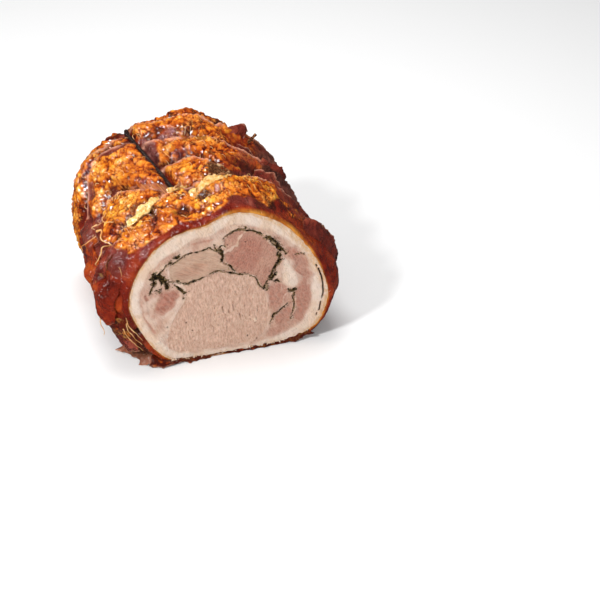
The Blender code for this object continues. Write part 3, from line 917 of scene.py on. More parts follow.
TENDERLOIN = (
    (1.3, 88.5), (0.3, 94), (0.2, 100), (0.3, 104), (1.3, 109), (4.4, 111.3), (8, 113.2),
    (12, 114.2), (17, 113.6), (22.2, 111.8), (26.3, 109.2), (30.4, 106.2), (33, 102), (36.6, 96.5),
    (40, 92.8), (41.8, 87.5), (41.6, 81.5), (40.8, 78.5), (39.6, 74.2), (36.5, 69), (33, 63.3),
    (31.2, 57.8), (29, 60.5), (26.9, 65.2), (24.6, 70.2), (19.5, 73.3), (11, 75.5), (8.8, 77.8),
    (6.8, 80.8), (4, 84.8), (1.6, 87),
)
HERB_COAT = 0.6
HERB_SEAMS = (
    (2.4, ((-56, 82), (-52, 83.5), (-47.5, 81.5), (-45, 76), (-45.3, 72))),
    (0.7, ((-46, 91), (-49, 88.5), (-52, 85))),
    (0.9, ((-54, 77.5), (-57, 73.5), (-59.6, 69))),
    (1.5, ((-6, 101), (-3, 97), (-1.7, 92.5), (-0.9, 88), (0.5, 85.5))),
    (1.9, ((31.5, 106.2), (36, 102), (40, 98), (43, 93), (44.5, 88), (43.8, 82), (43, 79))),
    (1.3, ((41.5, 77), (38.5, 70.5), (35, 64.5), (32, 58.5))),
    (0.6, ((-39, 74.5), (-36, 70.5), (-33.2, 66.8), (-33.5, 60.5))),
    (0.9, ((39.4, 62), (41.6, 62.9), (44, 61))),
    (1.3, ((50.5, 51.3), (53, 49.8), (55.6, 50.6))),
    (0.45, ((55.1, 47), (53.7, 45), (54.5, 38.8), (54.2, 32.3), (52.3, 22.8))),
)
LONE_SEAM = ((50.1, 38.8), (45.2, 34.9), (41.8, 31.7), (38, 29.8), (36.8, 26.1), (34.6, 22.1))
LONE_SEAM_HALF_WIDTH = 0.65


def unit(vectors, least=0.0):
    return vectors / (np.linalg.norm(vectors, axis=-1, keepdims=True) + least)


def grown(loop, distance):
    """The closed loop moved outwards along its normals. The loop runs either way round."""
    before, after = np.roll(loop, 1, 0), np.roll(loop, -1, 0)
    normal = unit(np.stack([(after - before)[:, 1], -(after - before)[:, 0]], 1))
    turned = np.sum(loop[:, 0] * after[:, 1] - loop[:, 1] * after[:, 0])
    return loop + normal * np.reshape(distance, (-1, 1)) * np.sign(turned)


def ribbon(line, half_width):
    """A closed loop round an open line, with blunt ends."""
    p = np.array(line, float)
    along = unit(np.gradient(p, axis=0))
    side = np.stack([-along[:, 1], along[:, 0]], 1) * half_width
    p[0] -= along[0] * half_width
    p[-1] += along[-1] * half_width
    return np.concatenate([p + side, (p - side)[::-1]])


def finely(loop, spacing, closed=True):
    """The same line with points about one spacing apart."""
    loop = np.asarray(loop, float)
    ends = np.vstack([loop, loop[:1]]) if closed else loop
    step = np.linalg.norm(np.diff(ends, axis=0), axis=1)
    length = np.concatenate([[0], np.cumsum(step)])
    count = max(int(round(length[-1] / spacing)), 3)
    at = np.linspace(0, length[-1], count + 1)[: -1 if closed else None]
    return np.stack([np.interp(at, length, ends[:, k]) for k in (0, 1)], 1)


def on_cut(flat):
    """Points (x, z) of the cut as points of space."""
    return np.stack([flat[:, 0], 0 * flat[:, 0], flat[:, 1]], -1)


def ragged(loop, amount, seed, spacing=CUT_SPACING):
    """The loop with the small unevenness of a cut edge."""
    loop = finely(loop, spacing)
    uneven = 0.6 * wobble(on_cut(loop), 2.4, seed) + 0.4 * wobble(on_cut(loop), 1.1, seed + 1)
    return grown(loop, amount * uneven)


def inside(points, loop):
    """Which points lie inside a closed loop."""
    near = np.all((points >= loop.min(0)) & (points <= loop.max(0)), 1)
    x, z = points[near].T
    within = np.zeros(len(x), bool)
    for (ax, az), (bx, bz) in zip(loop, np.roll(loop, -1, 0)):
        crosses = (az > z) != (bz > z)
        with np.errstate(divide="ignore", invalid="ignore"):
            at = ax + (z - az) * (bx - ax) / (bz - az)
        within ^= crosses & (x < at)
    result = np.zeros(len(points), bool)
    result[near] = within
    return result


def in_any(points, outlines):
    return np.any([inside(points, outline) for outline in outlines], 0)


def flat_region(loops, keep, spacing=CUT_SPACING):
    """Triangles of the flat region that keep() chooses, with the loops as its edges."""
    edges = [finely(loop, spacing) for loop in loops]
    low = np.min([e.min(0) for e in edges], 0)
    high = np.max([e.max(0) for e in edges], 0)
    columns = np.arange(low[0], high[0], spacing)
    lines = np.arange(low[1], high[1], spacing * 0.866)
    x, z = np.meshgrid(columns, lines)
    x = x + (np.arange(len(lines)) % 2)[:, None] * spacing / 2
    field = np.stack([x.ravel(), z.ravel()], 1)
    field = field + 0.12 * spacing * np.stack(
        [np.sin(field[:, 1] * 7.1 + field[:, 0]), np.sin(field[:, 0] * 6.3 - field[:, 1])], 1
    )
    field = field[keep(field)]
    nearest = KDTree(sum(len(edge) for edge in edges))
    for index, point in enumerate(np.vstack(edges).tolist()):
        nearest.insert((*point, 0.0), index)
    nearest.balance()
    near = np.array([nearest.find((*point, 0.0))[2] for point in field.tolist()])
    field = field[near > 0.6 * spacing]
    faces, start = [], 0
    for edge in edges:
        faces.append(list(range(start, start + len(edge))))
        start += len(edge)
    flat, _, triangles, *_ = delaunay_2d_cdt(
        [Vector(p) for p in np.vstack([*edges, field]).tolist()], [], faces, 1, 1e-5
    )
    flat = np.array([tuple(p) for p in flat])
    triangles = np.array([t for t in triangles if len(t) == 3])
    triangles = triangles[keep(flat[triangles].mean(1))]
    used, index = np.unique(triangles, return_inverse=True)
    return flat[used], index.reshape(-1, 3)


def skin_end(theta):
    """Radius and y of the skin's back edge."""
    points, *_ = skin_place(theta, np.full(np.shape(theta), SKIN_ENDS), RIGHT_CREASES)
    return from_middle(points[..., 0], points[..., 2])[1], points[..., 1]


def back_place(flat):
    """Where points of the cut's outline come out on the domed back end."""
    theta, radius = from_middle(*flat.T)
    edge, edge_y = skin_end(np.mod(theta, 2 * math.pi))
    floor_reach = (CENTRE_Z - 0.5) / np.maximum(-np.sin(theta), 1e-6)
    edge = np.minimum(edge - 1.0, np.where(np.sin(theta) < 0, floor_reach, 1e9))
    share = radius / face_radius(theta)
    wide = ease((share - 0.7) / 0.3)
    radius = radius * (1 + (edge / face_radius(theta) - 1) * wide)
    dome = (BACK_Y - edge_y) * (1 - np.clip(share, 0, 1) ** 2)
    return round_middle(theta, radius, edge_y - 1.5 + dome)


def run_through(name, flat, triangles, relief, back_relief, fields):
    """A closed solid from the cut face to the back end over a flat region. relief is how far
    each point of the cut stands back; fields are attributes of the cut's points."""
    count = len(flat)
    front = np.stack([flat[:, 0], FRONT_Y + relief, flat[:, 1]], -1)
    back = back_place(flat)
    back[:, 1] += back_relief
    directed = np.vstack([triangles[:, [0, 1]], triangles[:, [1, 2]], triangles[:, [2, 0]]])
    _, index, times = np.unique(
        np.sort(directed, 1), axis=0, return_index=True, return_counts=True
    )
    rim = directed[index[times == 1]]
    faces = triangles.tolist() + (triangles[:, ::-1] + count).tolist()
    # Under the skin the outer wall draws in, clear of the creases.
    # Under the skin the outer wall draws in, clear of the creases.
    used, order = np.unique(rim, return_inverse=True)
    order = order.reshape(rim.shape)
    theta, reach = from_middle(*flat[used].T)
    outer = ease((reach / face_radius(theta) - 0.93) / 0.05)
    rings = [
        round_middle(theta, reach - drawn_in * outer, y)
        for y, drawn_in in ((FRONT_Y + 7, 0.5), (FRONT_Y + 20, 7.0), (56.0, 7.0))
    ]
    near = rim
    for k in range(len(rings) + 1):
        far = 2 * count + k * len(used) + order if k < len(rings) else rim + count
        faces += np.stack([near[:, 1], near[:, 0], far[:, 0], far[:, 1]], 1).tolist()
        near = far
    attributes = {
        key: np.concatenate([value, value, np.tile(value[used], len(rings))])
        for key, value in fields.items()
    }
    attributes["roast"] = np.concatenate([
        np.zeros(count), np.ones(count), np.zeros(len(used)), np.ones(2 * len(used)),
    ])
    obj = link_mesh(name, np.vstack([front, back, *rings]), faces, attributes)
    obj.data.set_sharp_from_angle(angle=math.radians(60))
    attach(obj, "root")
    return obj


def soft_patch(points, loop, edge):
    """1 inside the loop, fading to 0 across its edge."""
    loop = smooth_loop(loop, 3)
    distance = away_from(points, loop, True, edge)
    signed = np.where(inside(points, loop), distance, -distance)
    return ease(signed / edge + 0.5)


def stroke(points, line, width, edge):
    """1 along a line of the given half width, fading to 0 across its edge."""
    return ease((width - away_from(points, line, False, 2 * edge + 4)) / edge + 0.5)


# What is drawn on the cut: the white fat under the skin, lean streaks, fat seams, stained herb
# lines, and slits and pits, which are painted near-black: painted shade in the gaps.
FAT_BAND_INNER = (
    (10.8, 120), (24.5, 115), (38, 107), (50.5, 98), (61, 87), (67, 77), (69, 63), (69.9, 48),
    (69, 34), (63.5, 22.6), (55, 14.5), (43, 9), (20, 6.5), (-20, 7), (-40, 11), (-52, 23),
    (-61, 38), (-66, 55), (-65, 70), (-60, 85), (-50, 95), (-38, 104), (-24, 110.5), (-10, 113),
)
LEAN_PATCHES = (
    (0.42, ((34, 60), (44, 64), (46, 54), (58, 52), (60, 66), (52, 82), (50, 90), (62, 82), (68, 68),
            (69, 45), (66, 26), (56, 15), (44, 11), (34, 12), (36, 36))),
    (1, ((-52, 66.5), (-46.6, 68.5), (-41, 69), (-37, 65), (-39.5, 61), (-42.3, 54.8),
           (-47.6, 49), (-54.4, 52), (-54, 58))),
    (0.7, ((33.6, 52.9), (36, 59), (44, 60), (49.5, 53), (47.5, 42), (42.3, 38.7), (35.8, 38.1))),
    (0.6, ((56, 82), (63.3, 80), (67.6, 67.8), (67.5, 52), (61, 52), (61.5, 62), (57, 70))),
    (0.8, ((56.9, 52), (69, 54), (71.5, 38), (67.5, 23), (57, 20), (56, 33))),
    (0.7, ((44, 33.5), (51.5, 37), (53, 30), (51, 20), (41, 17), (38, 25))),
    (0.55, ((36, 20), (50, 19), (44, 10.5), (32, 9.5))),
    (0.35, ((-58, 96), (-44, 101.5), (-36, 104), (-38, 98), (-48, 92), (-57, 87))),
    (0.32, ((-30, 103), (-20, 104.5), (-10, 106.5), (-6, 111), (-14, 112), (-28, 108))),
    (0.4, ((20, 117), (33, 110.5), (44, 103), (53, 93), (50, 88), (40, 101), (30, 108.5))),
    (0.66, ((50, 94), (58, 88), (65, 81), (68, 70), (58, 76), (49, 86))),
)
LEAN_LINES = (
    (0.85, 1.3, ((-67, 61.4), (-67.2, 54.9), (-64.8, 47.8), (-61.4, 40.4), (-56, 31.4))),
    (1, 0.8, ((-61.6, 67.7), (-61.4, 66), (-61, 64.2))),
    (1, 0.8, ((56.5, 71), (59.5, 67.5), (62, 63))),
    (0.6, 1, ((-25, 107.5), (-16, 108.5), (-9, 110))),
    (0.6, 0.6, ((54, 88), (60, 84), (64, 78))),
)
FAT_LINES = (
    (0.8, 0.45, ((37.8, 60.3), (40.9, 52), (42, 47.3), (39.8, 41.9))),
    (0.8, 0.45, ((45.3, 56.9), (45.9, 52.9), (44.7, 50.6))),
    (0.9, 0.6, ((48.5, 48.5), (46.8, 46.5), (46.2, 43), (46.8, 38.5))),
    (0.9, 0.6, ((55.8, 47), (56, 39), (55.6, 31), (53.6, 21))),
    (0.9, 1.4, ((-32.5, 60), (-34.5, 55), (-39, 49.5), (-43.5, 42), (-47, 33), (-49, 24))),
    (0.9, 0.9, ((-43.8, 90), (-44, 84), (-43, 79.5))), (0.9, 1.5, ((-38, 74), (-34, 73), (-31, 68))),
    (0.9, 1, ((-1, 104), (1.5, 99.5), (-1, 97))), (0.8, 0.9, ((45, 88), (47, 84), (47.5, 80))),
    (0.5, 0.8, ((36, 17.5), (46, 18.5), (54, 22))), (0.8, 0.8, ((50.3, 40), (46, 36.6), (42, 33))),
    (0.9, 1.7, ((16.9, 112.5), (12.5, 107.5), (10, 101), (4, 98), (0.5, 97))),
    (0.7, 0.7, ((3, 108), (6, 103), (1, 99.5))), (0.6, 0.5, ((30.6, 86.3), (27.9, 80))),
    (0.6, 0.6, ((36, 93), (38.5, 87), (38, 80))), (0.7, 0.4, ((24.9, 93.6), (27, 90), (26.5, 88))),
    (0.5, 0.4, ((8, 94), (11, 95), (15, 94))),
)
CREAM_BLOB = (
    (47.3, 82), (51.4, 81), (54, 75), (58, 67), (59.5, 58), (56.5, 53.5), (51.3, 53.6), (46.5, 58.1),
    (44.3, 66), (45.3, 73.5),
)
HERB_LINES = (
    (0.8, ((-52, 85), (-49, 88.5), (-46.2, 91.8), (-44.6, 92.7), (-41.5, 95.6))),
    (0.5, ((-40.4, 93.3), (-35.6, 96.2), (-32.1, 98.4))), (1.1, ((-41.8, 96), (-41, 95))),
    (1.5, ((-37, 99.6), (-35.5, 99.6))), (0.6, ((-32.1, 98.6), (-28.1, 100), (-24.2, 100.7))),
    (0.4, ((-24.2, 100.7), (-20.7, 100.2), (-15.8, 101.6))),
    (0.6, ((-15.8, 101.6), (-11.7, 103.5), (-9.8, 102.2))), (0.4, ((-9.8, 102.2), (-5.5, 99.1))),
    (0.5, ((-7, 105.1), (-5.5, 99.1), (-2.6, 96.8))), (0.6, ((-4, 99.9), (-1.4, 102.2), (1.5, 101.3))),
    (1.2, ((-2.6, 98.5), (-2, 95.5), (-1.5, 93))), (0.7, ((-1.5, 93), (-1.3, 88.5))),
    (0.5, ((0.3, 86.5), (3.6, 84.2), (5.6, 81), (8, 77.8))),
    (0.5, ((-44, 77.6), (-39.1, 77.3))), (0.9, ((-37.6, 77.8), (-35.2, 75.7), (-30.3, 74.2))),
    (0.8, ((-30.3, 74.1), (-26.4, 73.9), (-21.8, 74.8))), (0.3, ((-21.8, 74.8), (-14.2, 78))),
    (0.5, ((-12, 78.8), (-8.2, 79.8), (-4.1, 80.6), (-0.7, 78.9), (3.3, 77.4))),
    (0.6, ((3.3, 77.4), (5.5, 76.3), (10.7, 74.6), (18.7, 72.4))),
    (0.45, ((18.7, 72.4), (23.6, 69.8), (25.8, 65.4), (27.8, 61), (30.6, 56.5))),
    (0.6, ((0.2, 108), (1.3, 110.2), (4.4, 112.1), (8.1, 114.1), (11.8, 115))),
    (0.8, ((11.8, 115.2), (17, 114.6))), (0.4, ((17, 114.4), (17.6, 117.2))),
    (0.8, ((17, 114.4), (22.2, 112.7), (26.3, 110.1), (30.4, 107.2))),
    (2, ((33.6, 104.8), (37.8, 101.5), (41.9, 96.5), (44.8, 91))), (0.6, ((45.6, 91), (49.8, 86))),
    (1.7, ((43.8, 87), (44, 82), (43.3, 79))), (1.3, ((41.8, 78.5), (40, 74), (37.4, 69.3))),
    (1.6, ((39.5, 69), (38, 66.5), (36, 64))), (0.9, ((37.4, 69.3), (34, 63.6), (31.5, 57.1))),
    (0.5, ((34, 60), (33, 55))), (0.7, ((39.4, 61.9), (41.6, 62.9), (43.7, 61.1))),
    (1.2, ((50.2, 51.7), (52.8, 50), (55.9, 51))), (0.9, ((55.1, 48.5), (54.6, 46))),
    (0.45, ((53.7, 45.5), (54.5, 38.8), (54.2, 32.3), (52.3, 22.8))),
    (0.6, LONE_SEAM),
    (2.3, ((-55.5, 83), (-51.5, 83.8), (-47.6, 81.5), (-45.6, 77))), (1.4, ((-45.6, 77), (-45.2, 72))),
    (0.8, ((-55.5, 86), (-53, 87.5))), (1, ((-53.6, 79), (-56, 78))),
    (0.6, ((-53.3, 78), (-56.5, 74.3), (-59.8, 68.8))), (0.6, ((-53.6, 71.4), (-53.4, 71))),
    (0.7, ((-51.5, 69.5), (-51.3, 69))), (0.5, ((-50.7, 72.1), (-50.5, 71.9))),
    (0.5, ((-39.3, 74), (-36, 69.8))), (0.9, ((-36, 69.8), (-33.2, 66.8), (-31, 65.2))),
    (0.6, ((-31, 65.2), (-32.6, 64.3))), (0.5, ((-33.8, 61), (-33.3, 59.6))),
    (0.4, ((57, 84), (59.5, 84.6))), (0.4, ((61.5, 84.5), (62.8, 83.6))),
)
SLITS = (
    (0.6, ((73.1, 71.1), (73.6, 69.6))), (0.6, ((75, 67.2), (77.6, 59.4), (79, 51.3), (79.2, 43.5))),
    (0.6, ((79.2, 43.5), (78.3, 38.2))), (0.6, ((77.2, 34.6), (75.8, 27))),
    (0.5, ((74.2, 24.5), (73.6, 23))), (0.08, ((-2.9, 46), (-2.5, 43), (-2.2, 40))),
    (0, ((-0.3, 38.5), (0.2, 34))), (0.05, ((5.4, 46.3), (5.9, 44), (6.2, 41))),
    (0, ((2, 43.2), (2.4, 39))), (0, ((10.7, 37.5), (11.3, 33))),
    (-0.05, ((13.2, 35), (13.3, 31))), (0.2, ((-27.6, 28.6), (-27.2, 28))),
    (0, ((-9.2, 49), (-8.8, 45))), (0.4, ((16.8, 14), (17, 13.4))),
    (0.4, ((24, 9.6), (24.4, 9.2))), (0.4, ((-32, 37.2), (-31.8, 36.6))),
    (0.4, ((-47, 35.6), (-46.6, 35.2))), (0.5, ((63, 83.2), (63.6, 82.8))),
    (0.4, ((17, 103), (17.4, 102.6))),
)
HERB_MASS = ((-57, 84), (-50, 87), (-46, 80), (-44, 72), (-47, 74), (-54, 78))


def strayed(flat, size, seed, amount):
    """The cut's points, each moved a little, in waves of the given size."""
    at = on_cut(flat)
    return np.stack([wobble(at, size, seed), wobble(at, size, seed + 1)], -1) * amount


def drawn_on_cut(flat, fat, lean):
    """The attributes of the cut's points. fat and lean are what the piece is like all over."""
    at = on_cut(flat)
    drawn = flat + strayed(flat, 6, 22, 1.0)
    drawn = drawn + strayed(flat, 2, 24, 0.35)
    for amount, width, line in FAT_LINES:
        thin = width * (0.7 + 0.6 * wobble(at, 3, 29))
        mark = 0.7 * amount * stroke(drawn, line, thin, 1.6)
        fat = np.maximum(fat, mark)
        lean = lean * (1 - mark)
    uneven = 0.85 + 0.75 * wobble(at, 2.6, 26) + 0.35 * wobble(at, 0.8, 27)
    herb = np.max([
        ease((half_width * uneven - away_from(drawn, line, False, 5)) / 0.5 + 0.6)
        for half_width, line in HERB_LINES
    ], 0)
    torn = 0.9 + 0.3 * wobble(at, 2, 28)
    gap = np.max([stroke(flat, line, half_width * torn, 0.6) for half_width, line in SLITS], 0)
    return {"fat": fat, "lean": lean, "herb": herb, "gap": gap,
            "thick": soft_patch(flat, HERB_MASS, 2.0)}


def cut_relief(flat, fields, seed):
    """How far the cut stands back at its points."""
    at = on_cut(flat)
    return (
        0.36 * wobble(at, 7, seed) + 0.26 * wobble(at, 2.6, seed + 1)
        + 0.06 * wobble(at, 1.0, seed + 2) - 0.35 * fields["fat"] + 0.2 * fields["lean"]
        + 2.6 * fields["gap"] + 0.8 * fields["herb"]
    )


loin_loop = ragged(smooth_loop(LOIN), 0.25, 151)
cap_loop = ragged(smooth_loop(CAP_MUSCLE), 0.2, 153)
tenderloin_loop = ragged(smooth_loop(TENDERLOIN), 0.25, 155)
face_loop = ragged(grown(smooth_loop(FACE_OUTLINE, 6), 0.9), 0.35, 157)
face_loop[:, 1] = np.maximum(face_loop[:, 1], 0.2)
herb_loops = [ragged(grown(smooth_loop(loop), HERB_COAT), 0.25, 159 + k)
              for k, loop in enumerate((CAP_MUSCLE, TENDERLOIN))]
herb_loops += [ragged(ribbon(finely(line, 1.5, False), half), 0.5, 163 + k, 0.4)
               for k, (half, line) in enumerate(HERB_SEAMS)]
lone_loop = ragged(ribbon(finely(LONE_SEAM, 1.5, False), LONE_SEAM_HALF_WIDTH), 0.3, 180, 0.4)


def belly_keeps(points):
    taken = in_any(points, [*herb_loops, loin_loop, lone_loop, cap_loop, tenderloin_loop])
    return inside(points, face_loop) & ~taken


belly_flat, belly_triangles = flat_region(
    [face_loop, *herb_loops, loin_loop, lone_loop], belly_keeps
)


def belly_fields(flat):
    at = on_cut(flat)
    soft = wobble(at, 5, 21)
    drawn = flat + strayed(flat, 8, 32, 1.6)
    band = 1 - soft_patch(drawn, FAT_BAND_INNER, 8.0)
    lean = 0.12 + 0.12 * wobble(at, 6, 34)
    for amount, loop in LEAN_PATCHES:
        lean = np.maximum(lean, amount * soft_patch(drawn, loop, 5.5))
    for amount, width, line in LEAN_LINES:
        lean = np.maximum(lean, amount * stroke(drawn, line, width, 1.4))
    layers = wobble(np.stack([at[:, 0] * 0.5, at[:, 1], at[:, 2]], -1), 4, 35)
    fat = (0.52 + 0.18 * soft + 0.10 * layers) * (1 - 0.85 * lean)
    fat = np.maximum(band * (0.9 + 0.15 * soft), fat)
    cream = soft_patch(drawn, CREAM_BLOB, 6.5)
    fat = np.maximum(fat, 0.78 * cream)
    lean = lean * (1 - np.maximum(cream, 0.8 * band))
    fields = drawn_on_cut(flat, fat, np.clip(lean, 0, 1))
    # Towards the skin the fat is stained tan, most of all on the right.
    theta, reach = from_middle(*flat.T)
    stain = 1.2 + 6.4 * facing(theta, 12, 75) + 0.8 * soft
    fields["tan"] = ease(1.1 - (face_radius(theta) - reach) / np.maximum(stain, 0.5))
    return fields


belly_paint = belly_fields(belly_flat)
belly_relief = cut_relief(belly_flat, belly_paint, 41)
at = on_cut(belly_flat)
belly_cut = run_through("belly_cut", belly_flat, belly_triangles, belly_relief,
                        1.6 * wobble(at, 9, 43) + 0.5 * wobble(at, 3, 44), belly_paint)


def grain_group():
    """Cooked meat's fine pattern: streaks along the fibres, paler clouds, specks and bundles."""
    n, given, result = new_group(
        "cooked_grain", "ShaderNodeTree", dict.fromkeys(("Fineness", "Along", "Turn"), "Float"),
        dict.fromkeys(("Streak", "Cloud", "Speck", "Bundle"), "Float"),
    )
    where = n.add("ShaderNodeTexCoord").outputs["Object"]
    turned = n.add("ShaderNodeVectorRotate", {"Vector": where, "Angle": given["Turn"]},
                   rotation_type="Y_AXIS").outputs["Vector"]
    scale = n.add("ShaderNodeCombineXYZ", {"X": 1.0, "Y": 0.3, "Z": given["Along"]})
    long = n.vector("MULTIPLY", turned, scale.outputs["Vector"])
    for label, source, share, seed, detail in (
        ("Streak", long, 1.0, 1.0, 3.0), ("Cloud", where, 0.16, 2.0, 2.0),
        ("Speck", where, 1.4, 3.0, 1.0),
    ):
        fineness = n.times(given["Fineness"], share)
        n.feed(result[label], n.noise(fineness, detail, seed, 0.3, source))
    cells = n.add("ShaderNodeTexVoronoi", {
        "Vector": long, "Scale": n.times(given["Fineness"], 0.9),
    }, feature="DISTANCE_TO_EDGE")
    n.feed(result["Bundle"], n.between(cells.outputs["Distance"], 0.02, 0.22))
    return n.tree


cooked_grain = grain_group()


def meat_material(name, flesh, rosy, white, grain, turn, along, streaky):
    """Cooked pork. flesh, rosy and white are the colours of pale meat, pink meat and fat."""
    material, n = new_material(name)
    pattern = n.add("ShaderNodeGroup", {"Fineness": grain, "Along": along, "Turn": turn},
                    node_tree=cooked_grain).outputs
    streak, cloud, speck = pattern["Streak"], pattern["Cloud"], pattern["Speck"]
    lean, fat, herb, gap, roast = map(n.mask, ("lean", "fat", "herb", "gap", "roast"))
    pale = tuple(min(1.0, c * 1.22 + 0.04) for c in flesh)
    deep = tuple(c * k for c, k in zip(flesh, (0.80, 0.70, 0.64)))
    mottled = n.ramp(streak, (0.36, deep), (0.46, flesh), (0.54, flesh), (0.64, pale))
    mottled = n.mix(streaky, flesh, mottled)
    blush = n.mix(n.times(n.between(cloud, 0.40, 0.64), 0.40), mottled, rosy)
    rose = n.ramp(
        streak, (0.34, tuple(c * 0.84 for c in rosy)), (0.66, tuple(min(1, c * 1.18) for c in rosy)),
    )
    colour = n.mix(lean, blush, rose)
    colour = n.mix(n.times(n.minus(1.0, pattern["Bundle"]), 0.12), colour, white)
    cream = tuple(c * k for c, k in zip(white, (0.95, 0.87, 0.78)))
    white_mottled = n.mix(n.between(cloud, 0.38, 0.62), cream, white)
    colour = n.mix(n.between(fat, 0.22, 0.85), colour, white_mottled)
    colour = n.mix(n.times(n.between(speck, 0.64, 0.76), 0.30), colour, white)
    herb_colour = n.ramp(
        n.noise(900, 2, 5.0), (0.40, (0.006, 0.003, 0.001)), (0.54, (0.018, 0.009, 0.003)),
        (0.63, (0.11, 0.065, 0.018)), (0.74, (0.42, 0.26, 0.09)),
    )
    # Herb juice stains the meat round a seam; the seam itself is broken but for its thick part.
    colour = n.mix(n.times(n.between(herb, 0.0, 0.5), 0.5), colour, (0.34, 0.24, 0.10))
    broken = n.between(n.noise(300, 3, 91.0), 0.42, 0.52)
    dark = n.times(n.between(herb, 0.40, 0.80), n.maths("MAXIMUM", broken, n.mask("thick")))
    colour = n.mix(dark, colour, herb_colour)
    tan = n.times(n.mask("tan"), n.between(streak, 0.3, 0.6))
    colour = n.mix(n.times(tan, 0.75), colour, (0.60, 0.33, 0.13))
    # Slits and pits are painted near-black: painted shade in the gaps.
    colour = n.mix(gap, colour, (0.030, 0.010, 0.005))
    # The back end has the same layers, roasted: meat dark brown, fat golden, herbs black.
    heat = n.noise(60, 4, 51.0, 0.4)
    brown = n.ramp(
        heat, (0.32, (0.07, 0.018, 0.008)), (0.50, (0.17, 0.055, 0.020)), (0.68, (0.31, 0.125, 0.045)),
    )
    golden = n.ramp(
        heat, (0.34, (0.22, 0.060, 0.016)), (0.50, (0.40, 0.145, 0.038)), (0.66, (0.58, 0.26, 0.08)),
    )
    roasted = n.mix(n.between(fat, 0.15, 0.8), brown, golden)
    roasted = n.mix(n.times(n.between(streak, 0.45, 0.7), 0.35), roasted, (0.045, 0.014, 0.008))
    roasted = n.mix(n.between(herb, 0.3, 0.8), roasted, (0.020, 0.012, 0.006))
    rough = n.ramp(cloud, (0.35, (0.20, 0.20, 0.20)), (0.7, (0.42, 0.42, 0.42)))
    height = n.plus(streak, n.times(pattern["Bundle"], 0.25))
    height = n.plus(height, n.times(speck, 0.4))
    n.shade({
        "Base Color": n.mix(roast, colour, roasted),
        "Roughness": n.mix(dark, rough, (0.75, 0.75, 0.75)),
        "Normal": n.bump(height=height, distance=0.0007, strength=0.8),
        "Subsurface Weight": 0.12, "Subsurface Radius": (1.0, 0.45, 0.3),
        "Subsurface Scale": 0.002, "Specular IOR Level": 0.35,
    })
    return material


belly_cut.data.materials.append(meat_material(
    "belly_meat", (0.56, 0.35, 0.255), (0.39, 0.155, 0.105), (0.74, 0.59, 0.49), 420, 0.5, 0.5, 0.25,
))
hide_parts("belly_roll")


# ---------------------------------------------------------------- loin, cap muscle, tenderloin
# The three muscles inside the roll, each cut across: the loin's eye is pale with short upright
# fibres, the cap muscle is pale with long slanting ones, the tenderloin is pinker and denser.


def muscle(name, loop, fat, lean, lean_patch, ticks, material, seed):
    flat, triangles = flat_region([loop], lambda p: inside(p, loop))
    at = on_cut(flat)
    if lean_patch:
        lean = lean + (1 - lean) * soft_patch(flat, lean_patch, 6.0)
    blank = np.zeros(len(flat))
    fields = drawn_on_cut(flat, blank + fat, blank + lean)
    edge = away_from(flat, loop, True)
    fields["fat"] = np.maximum(fields["fat"], 0.4 * ease(1 - edge / 1.2))
    # Short torn fibres stand up, with slits between them, in the middle of the piece.
    swayed = at + np.stack([wobble(at, 9, seed + 8) * 2.5, at[:, 1], wobble(at, 9, seed + 9)], -1)
    long = swayed * [1, 1, 0.25]
    here = ticks * ease((edge - 3) / 6) * ease(wobble(at, 15, seed + 6) * 1.5 + 0.6)
    slit = ease((wobble(long, 0.9, seed + 4) - 0.70) * 5) * here
    tick = ease((wobble(long, 1.1, seed + 3) - 0.50) * 4) * here
    shred = ease((wobble(swayed, 1.6, seed + 5) - 0.50) * 4) * (0.25 + 0.75 * here)
    # The slits between them are painted dark through gap: painted shade.
    fields["gap"] = np.maximum(fields["gap"], 0.30 * slit)
    fields["fat"] = np.maximum(fields["fat"], np.maximum(0.75 * tick, 0.5 * shred))
    relief = cut_relief(flat, fields, seed)
    back = 1.6 * wobble(at, 8, seed + 7) + 2.0 * ease(1 - edge / 3)
    obj = run_through(name, flat, triangles, relief, back, fields)
    obj.data.materials.append(material)
    return obj


loin = muscle(
    "loin_eye", loin_loop, 0.05, 0.10, None, 1.0,
    meat_material("loin_meat", (0.595, 0.385, 0.288), (0.50, 0.27, 0.19), (0.77, 0.61, 0.49),
                  620, 0.05, 0.34, 0.85),
    60,
)
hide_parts("loin")

cap = muscle(
    "cap_slice", cap_loop, 0.05, 0.08, ((-38, 82), (-30, 78), (-18, 82), (-14, 90), (-26, 90)), 0.25,
    meat_material("cap_meat", (0.53, 0.345, 0.245), (0.45, 0.25, 0.17), (0.72, 0.56, 0.44),
                  560, 1.15, 0.14, 0.38),
    80,
)
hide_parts("cap_muscle")

tender = muscle(
    "tenderloin_slice", tenderloin_loop, 0.05, 0.30,
    ((3, 93), (10, 97), (14, 106), (22, 106), (30, 98), (28, 86), (22, 77), (12, 78), (6, 84)), 0.15,
    meat_material("tenderloin_meat", (0.50, 0.28, 0.20), (0.40, 0.165, 0.115),
                  (0.72, 0.53, 0.42), 620, -0.6, 0.6, 0.25),
    100,
)
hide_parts("tenderloin")


# ---------------------------------------------------------------- herbs
# Chopped rosemary, fennel tops and garlic spread on the meat before it was rolled. Each layer
# runs through the roll; crumbs of it have smeared and stuck along the cut.


def herb_layer(name, outlines, cuts, seed):
    def keeps(points):
        return in_any(points, outlines) & ~in_any(points, cuts)

    flat, triangles = flat_region([*outlines, *cuts], keeps, 0.42)
    at = on_cut(flat)
    fields = drawn_on_cut(flat, np.full(len(flat), 0.35), np.full(len(flat), 0.1))
    relief = cut_relief(flat, fields, 41) + fields["herb"] * 0.5 * wobble(at, 0.9, seed)
    back = 1.5 + 1.0 * wobble(at, 3, seed + 2)
    obj = run_through(name, flat, triangles, relief, back, fields)
    obj.data.materials.append(belly_cut.data.materials[0])
    return obj


